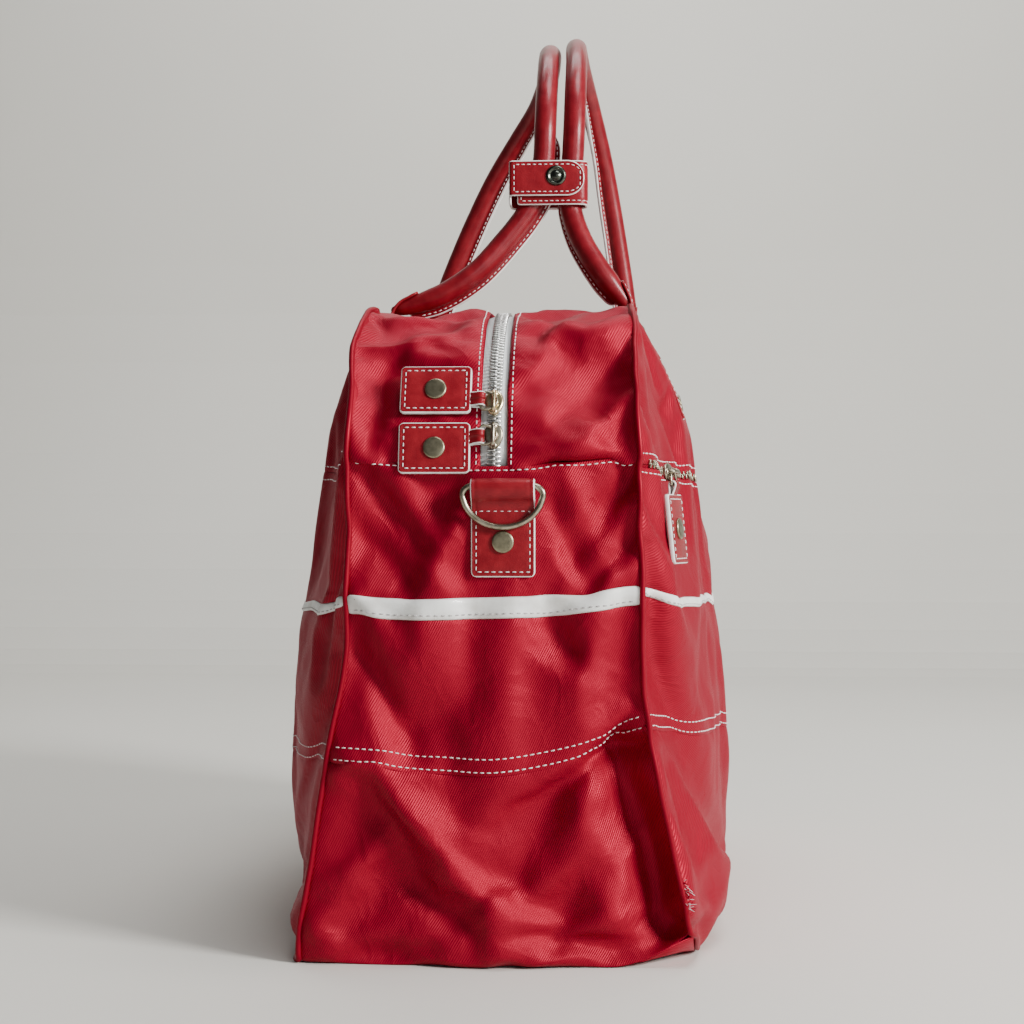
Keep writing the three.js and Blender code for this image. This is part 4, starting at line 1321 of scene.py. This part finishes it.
# ---- Rings and their tabs on the ends ----
TAB_BACK_Y = HALF_LENGTH + 3.35
RING_Z = 239.5
RING_Y = TAB_BACK_Y + 4.2
TAB_WIDTH = 32
TAB_LOOP = 2.15         # radius of the tab's turn round the ring
TAB_STITCHED = 33.0     # how far up from its foot it's sewn down


def ring_and_tab(place, way):
    """way is -1 at the near end and 1 at the far end."""
    outward = (0, way, 0)
    centre_x = -way * TAB_X
    seat = Place((centre_x, way * RING_Y, RING_Z), outward, (-way, 0, 0))
    d_loop(f"d_ring_{place}", seat, f"{place}_ring", 20, 20, 3, 1.6, way=-1 if seat.across[2] > 0 else 1)
    points = [(TAB_BACK_Y, z) for z in np.linspace(194.5, 226, 12)]
    points += [(TAB_BACK_Y + 0.5, 230), (TAB_BACK_Y + 2.4, 233.5), (TAB_BACK_Y + 5.0, 236)]
    points += [(RING_Y + TAB_LOOP * math.cos(a), RING_Z + TAB_LOOP * math.sin(a))
               for a in np.radians([-20, 15, 50, 90, 130, 165, 195])]
    points += [(TAB_BACK_Y + 1.2, 234), (TAB_BACK_Y + 0.6, 230)]
    path = spline([(centre_x, way * y, z) for y, z in points], 90)
    tab = strap_facing(lambda point: outward, 0.06, path, (1, 0, 0), TAB_WIDTH, 2.0, (2.6, 1.0))
    node = f"ring_tab_{place}"
    sewn_strap((f"{node}_leather", f"{node}_stitches"), "bag", tab, 2.6, TRIM_STITCH, [node],
               s1=TAB_STITCHED, step=1.2)
    rivet(f"{node}_rivet", "bag", (centre_x, way * (TAB_BACK_Y + 2.5), 212), outward)


ring_and_tab("near", -1)
ring_and_tab("far", 1)


# ---- Handles ----
HANDLE_RADIUS = 6.3
HANDLE_ROUTES = {
    "left": [(-66, -95, 343), (-54, -95, 346), (-38, -95, 352), (-20, -94, 364), (-3, -90, 383),
             (9, -88, 399), (15.5, -88, 412), (18.5, -88, 428), (19.5, -88, 448), (20, -80, 468),
             (20, -60, 488), (19.5, -32, 502), (19, 0, 508), (16, 28, 502), (8, 50, 488),
             (-6, 67, 470), (-22, 80, 447), (-42, 90, 408), (-60, 95, 364), (-66, 95, 343)],
    "right": [(68, -95, 343), (62, -95, 350), (50, -95, 366), (40, -91, 383), (34.5, -88, 399),
              (33.5, -88, 412), (35, -88, 428), (36, -88, 448), (36.5, -80, 470), (36.5, -60, 490),
              (35.5, -32, 505), (35, 0, 512), (37, 32, 506), (42, 60, 490), (50, 80, 458),
              (58, 90, 414), (65, 95, 368), (68, 95, 343)],
}
HANDLE_MIDDLE_X = 27.5
WELT_OUT = 3.6          # the sewn edge stands this far out of the roll


def welt_way(path):
    """The way the sewn edge of the rolled handle faces: inwards and down, across the handle."""
    tangents = tangents_of(path)
    target = np.stack([np.full(len(path), HANDLE_MIDDLE_X), path[:, 1] * 0.85,
                       np.full(len(path), 330.0)], -1)
    way = target - path
    way = unit(way - tangents * np.sum(way * tangents, 1, keepdims=True))
    for _ in range(6):
        way[1:-1] = (way[:-2] + 2 * way[1:-1] + way[2:]) / 4
    return unit(way)


def handle(side):
    """A rolled handle that thins towards its ends, with its sewn edge and two lines of thread."""
    path = spline(HANDLE_ROUTES[side], 260)
    share = np.linspace(0, 1, len(path))
    to_end = np.clip(np.minimum(share, 1 - share) / 0.045, 0, 1)
    radius = HANDLE_RADIUS * (0.38 + 0.62 * np.sqrt(to_end)) * (1 + 0.012 * soft_noise(path, 11, SEED))
    batch, thread = Batch(), Batch()
    tube(batch, path, radius, 24, reference=(1, 0, 0))
    way = welt_way(path)
    width = 3.0 + WELT_OUT
    middle = path + way * (radius + WELT_OUT - width / 2)[:, None]
    ends = slice(4, len(path) - 4)
    welt = Strap(middle[ends], way[ends], width, 2.4, (5.0, 5.0), puff=0.0)
    welt.path = welt.path - welt.up * 1.2
    welt.skin(batch, step=2.0, paint_width=1.0)
    outer = welt.side_line(2.3, 6)
    stitch(thread, outer, WELT_STITCH)
    stitch(thread, [(point - up * welt.top(2.3), -up) for point, up in outer], WELT_STITCH)
    body = f"{side}_handle"
    batch.build(f"handle_{side}_roll", body, [HANDLE_LEATHER, WHITE], [f"handle_{side}"])
    thread.build(f"handle_{side}_stitches", body, [THREAD])


for side in SIDE_NAMES.values():
    handle(side)


def patch_and_lug(side, sign, place, end):
    """The patch sewn on the bag's side, and the lug that joins it to the handle's end."""
    def at(z, lift):
        share = HANDLE_Y / (end_y(z) - SEAM_INSET)
        slope = (side_x(share, z + 1) - side_x(share, z - 1)) / 2
        out = unit((1, 0, -slope))
        return np.array([sign * (side_x(share, z) + out[0] * lift), end * HANDLE_Y, z + out[2] * lift])

    def outward(point):
        return sign, 0, 0

    node = f"handle_patch_{side}_{place}"
    path = [at(z, 0.2) for z in np.linspace(279, 330, 24)]
    patch = strap_facing(outward, 0.04, path, (0, 1, 0), 26, 1.7, (4.0, 1.5), puff=0.1)
    sewn_strap((f"{node}_leather", f"{node}_stitches"), "bag", patch, 2.5, TRIM_STITCH, [node],
               sides_painted=False)
    rivet(f"{node}_rivet", "bag", at(288, 2.0), (sign, 0, 0.25))

    route = HANDLE_ROUTES[side] if end < 0 else HANDLE_ROUTES[side][::-1]
    grip = spline(route[:4] if end < 0 else route[:3], 30)
    over = [at(312, 2.1), at(322, 2.1), at(330, 2.2), at(335, 1.2) + (-sign * 0.5, 0, 1.2)]
    up = unit(np.cross((0, 1, 0), grip[8] - grip[0]))
    up = up if up[2] > 0 else -up
    over += [grip[2] + up * 2.2, grip[6] + up * 4.4, grip[9] + up * 5.6]
    lug = strap_facing(outward, 0.05, spline(over, 40), (0, 1, 0), [16, 15, 13, 10, 8], 1.5, (4.0, 3.5),
                       puff=0.1)
    name = f"handle_lug_{side}_{place}"
    bend = ("bag", f"{side}_handle", Vector(over[2]) * MM, Vector(grip[4]) * MM)
    sewn_strap((name, f"{name}_stitches"), bend, lug, 2.3, FINE_STITCH, rivet_at=0.42, step=1.2,
               paint_width=0.3, sides_painted=False)


for sign, side in SIDE_NAMES.items():
    for place, end in (("near", -1), ("far", 1)):
        patch_and_lug(side, sign, place, end)


# ---- The keeper round the near legs ----
KEEPER_Y = -88.0
KEEPER_Z = 414.5
KEEPER_WIDTH = 25.0
LEG_MIDDLE = np.array([25.0, KEEPER_Y, KEEPER_Z])


def keeper_strap(node, body, corners, outline, width=KEEPER_WIDTH, z=KEEPER_Z):
    """A strap bent in plan: outline is its inner face in x and y round the legs."""
    path = spline([(x, KEEPER_Y + y, z) for x, y in outline], 90)
    strap = strap_facing(lambda point: point - LEG_MIDDLE, 0.5, path, (0, 0, 1), width, 1.45, corners,
                         puff=0.1)
    sewn_strap((f"{node}_leather", f"{node}_stitches"), body, strap, 2.3, FINE_STITCH, [node], step=1.2)


keeper_strap("keeper_under", "right_handle", (1.5, 1.5),
             [(3.8, -7.05), (20, -7.05), (39.5, -7.05), (41.9, -5.2), (42.2, 0), (41.9, 5.2),
              (39.5, 7.05), (20, 7.05), (3.8, 7.05)])
keeper_strap("keeper_wrap", "left_handle", (1.0, 1.5),
             [(0.6, -8.6), (0.6, -4), (0.6, 4), (1.2, 7.6), (3.2, 8.9), (20, 8.95), (40, 8.95)])
keeper_strap("keeper_flap", "keeper_snap", (1.0, 9.6),
             [(0.2, -8.9), (0.9, -9.6), (3.2, -9.75), (20, -9.75), (42, -9.75)], width=20.0, z=416.8)
cap = Batch()
cap.lathe((26, KEEPER_Y - 11.1, 418), (0, -1, 0),
          [(5.8, 0), (5.8, 0.4), (5.3, 1.0), (4.6, 1.3), (4.0, 1.15), (3.6, 0.6), (2.7, 0.6), (2.3, 1.1),
           (1.2, 1.5), (0.2, 1.6)])
cap.build("keeper_snap_cap_metal", "keeper_snap", [DARK_METAL], ["keeper_snap_cap"])


# ---- Thread lines on the cloth ----
def seam_lines(name, material, strip_heights, left_heights, right_heights):
    """One mesh of stitched lines: some heights on both ends, others on each long side."""
    batch = Batch()
    for height in strip_heights:
        for s in (height, STRIP_LENGTH - height):
            stitch(batch, grid_line("strip", s))
    for sign, heights in ((-1, left_heights), (1, right_heights)):
        for height in heights:
            stitch(batch, grid_line(sign, height))
    batch.build(name, "bag", [material])


def fold_lines():
    """A line of stitches beside each fold of the zip opening."""
    batch = Batch()
    for sign in (-1, 1):
        line = []
        for s in np.arange(WALL_HEIGHT + 1, STRIP_LENGTH - WALL_HEIGHT - 1, 2.0):
            line.append(cloth.drop(*strip_place(s, sign * (ZIP_OPENING_X + 2.6)), reach=4.0))
        stitch(batch, line)
    batch.build("stitches_zip_folds", "bag", [THREAD])


double_seam = (DOUBLE_SEAM_Z + 2.4, DOUBLE_SEAM_Z + 8.2)
seam_lines("stitches_double_seam", THREAD, double_seam, double_seam, double_seam)
band_foot = SIDE_BAND_Z[0] + 1.7
seam_lines("stitches_white_bands", GREY_THREAD, [END_BAND_Z[0] + 2.6], [band_foot], [band_foot])
seam_lines("stitches_panels", THREAD, [WALL_HEIGHT - 2.4], (WALL_HEIGHT + 2.4, WALL_HEIGHT - 4.5),
           (WALL_HEIGHT + 2.6, POCKET_Z - 2.6))
fold_lines()


def frayed_corner():
    """The worn spot low on the near right corner: loose red and pale threads."""
    spread = np.random.default_rng(SEED)
    for name, material, count in (("red", TWILL, 26), ("pale", THREAD, 16)):
        batch = Batch()
        for _ in range(count):
            height = spread.uniform(20, 36)
            foot, facing = grid_line("strip", height, inset=1.5, step=0.5)[-1]
            foot = foot + spread.normal(0, 0.9, 3) - facing * 0.6
            way = unit((0.75 + spread.normal(0, 0.35), -0.55 + spread.normal(0, 0.35),
                        spread.normal(-0.1, 0.5)))
            curl = unit(spread.normal(0, 1, 3))
            reach = spread.uniform(2.5, 6.5)
            path = [foot + way * reach * t + curl * 1.4 * t * t for t in (0, 0.35, 0.7, 1.0)]
            tube(batch, spline(path, 8), np.linspace(0.22, 0.12, 8), 5)
        batch.build(f"frayed_threads_{name}", "bag", [material])


frayed_corner()


# ---- Stage, light and camera ----
def add_camera():
    """The camera looks level along +Y from in front of the near end, in metres."""
    camera = bpy.data.objects.new("camera", bpy.data.cameras.new("camera"))
    bpy.context.scene.collection.objects.link(camera)
    camera.data.lens = 66.8
    camera.data.sensor_width = 36
    camera.data.shift_x = -0.006
    camera.data.shift_y = 0.0117
    yaw = math.radians(3.5)
    distance = 1.175
    camera.location = (-0.0015 + math.sin(yaw) * distance, -math.cos(yaw) * distance, 0.221)
    camera.rotation_euler = (math.pi / 2, 0, yaw)
    bpy.context.scene.camera = camera


def add_area(name, place, target, size, power, color=(1, 1, 1)):
    light = bpy.data.objects.new(name, bpy.data.lights.new(name, "AREA"))
    light.data.size = size
    light.data.energy = power
    light.data.color = color
    light.location = place
    light.rotation_euler = (Vector(target) - Vector(place)).to_track_quat("-Z", "Y").to_euler()
    bpy.context.scene.collection.objects.link(light)


def add_stage():
    """A pale floor that curves up into a wall behind the bag."""
    wall_y, radius, width, height, front = 2.3, 0.7, 8.0, 5.0, -6.0
    profile = [(front, 0.0), (wall_y - radius, 0.0)]
    for k in range(1, 13):
        angle = k / 12 * math.pi / 2
        profile.append((wall_y - radius + radius * math.sin(angle), radius - radius * math.cos(angle)))
    profile.append((wall_y, height))
    vertices = [(x, y, z) for y, z in profile for x in (-width, width)]
    faces = [(2 * i, 2 * i + 1, 2 * i + 3, 2 * i + 2) for i in range(len(profile) - 1)]
    stage = add_object("stage", mesh_from("stage", vertices, faces, smooth=False))
    stage.data.materials.append(backdrop_material())


def add_lights():
    middle = (0, 0, 0.25)
    add_area("key", (1.75, -1.15, 1.0), middle, 0.55, 88, (1, 0.985, 0.96))
    add_area("top", (0.5, -0.3, 2.0), middle, 0.8, 20)
    add_area("front", (0.7, -2.4, 0.9), middle, 1.0, 7, (0.97, 0.98, 1))
    add_area("wall", (0, 0.9, 2.2), (0, 2.3, 0.5), 1.4, 38, (1, 1, 0.99))
    world = bpy.data.worlds.new("world")
    world.use_nodes = True
    world.node_tree.nodes["Background"].inputs["Color"].default_value = (0.95, 0.97, 1, 1)
    world.node_tree.nodes["Background"].inputs["Strength"].default_value = 0.09
    bpy.context.scene.world = world


add_camera()
add_stage()
add_lights()
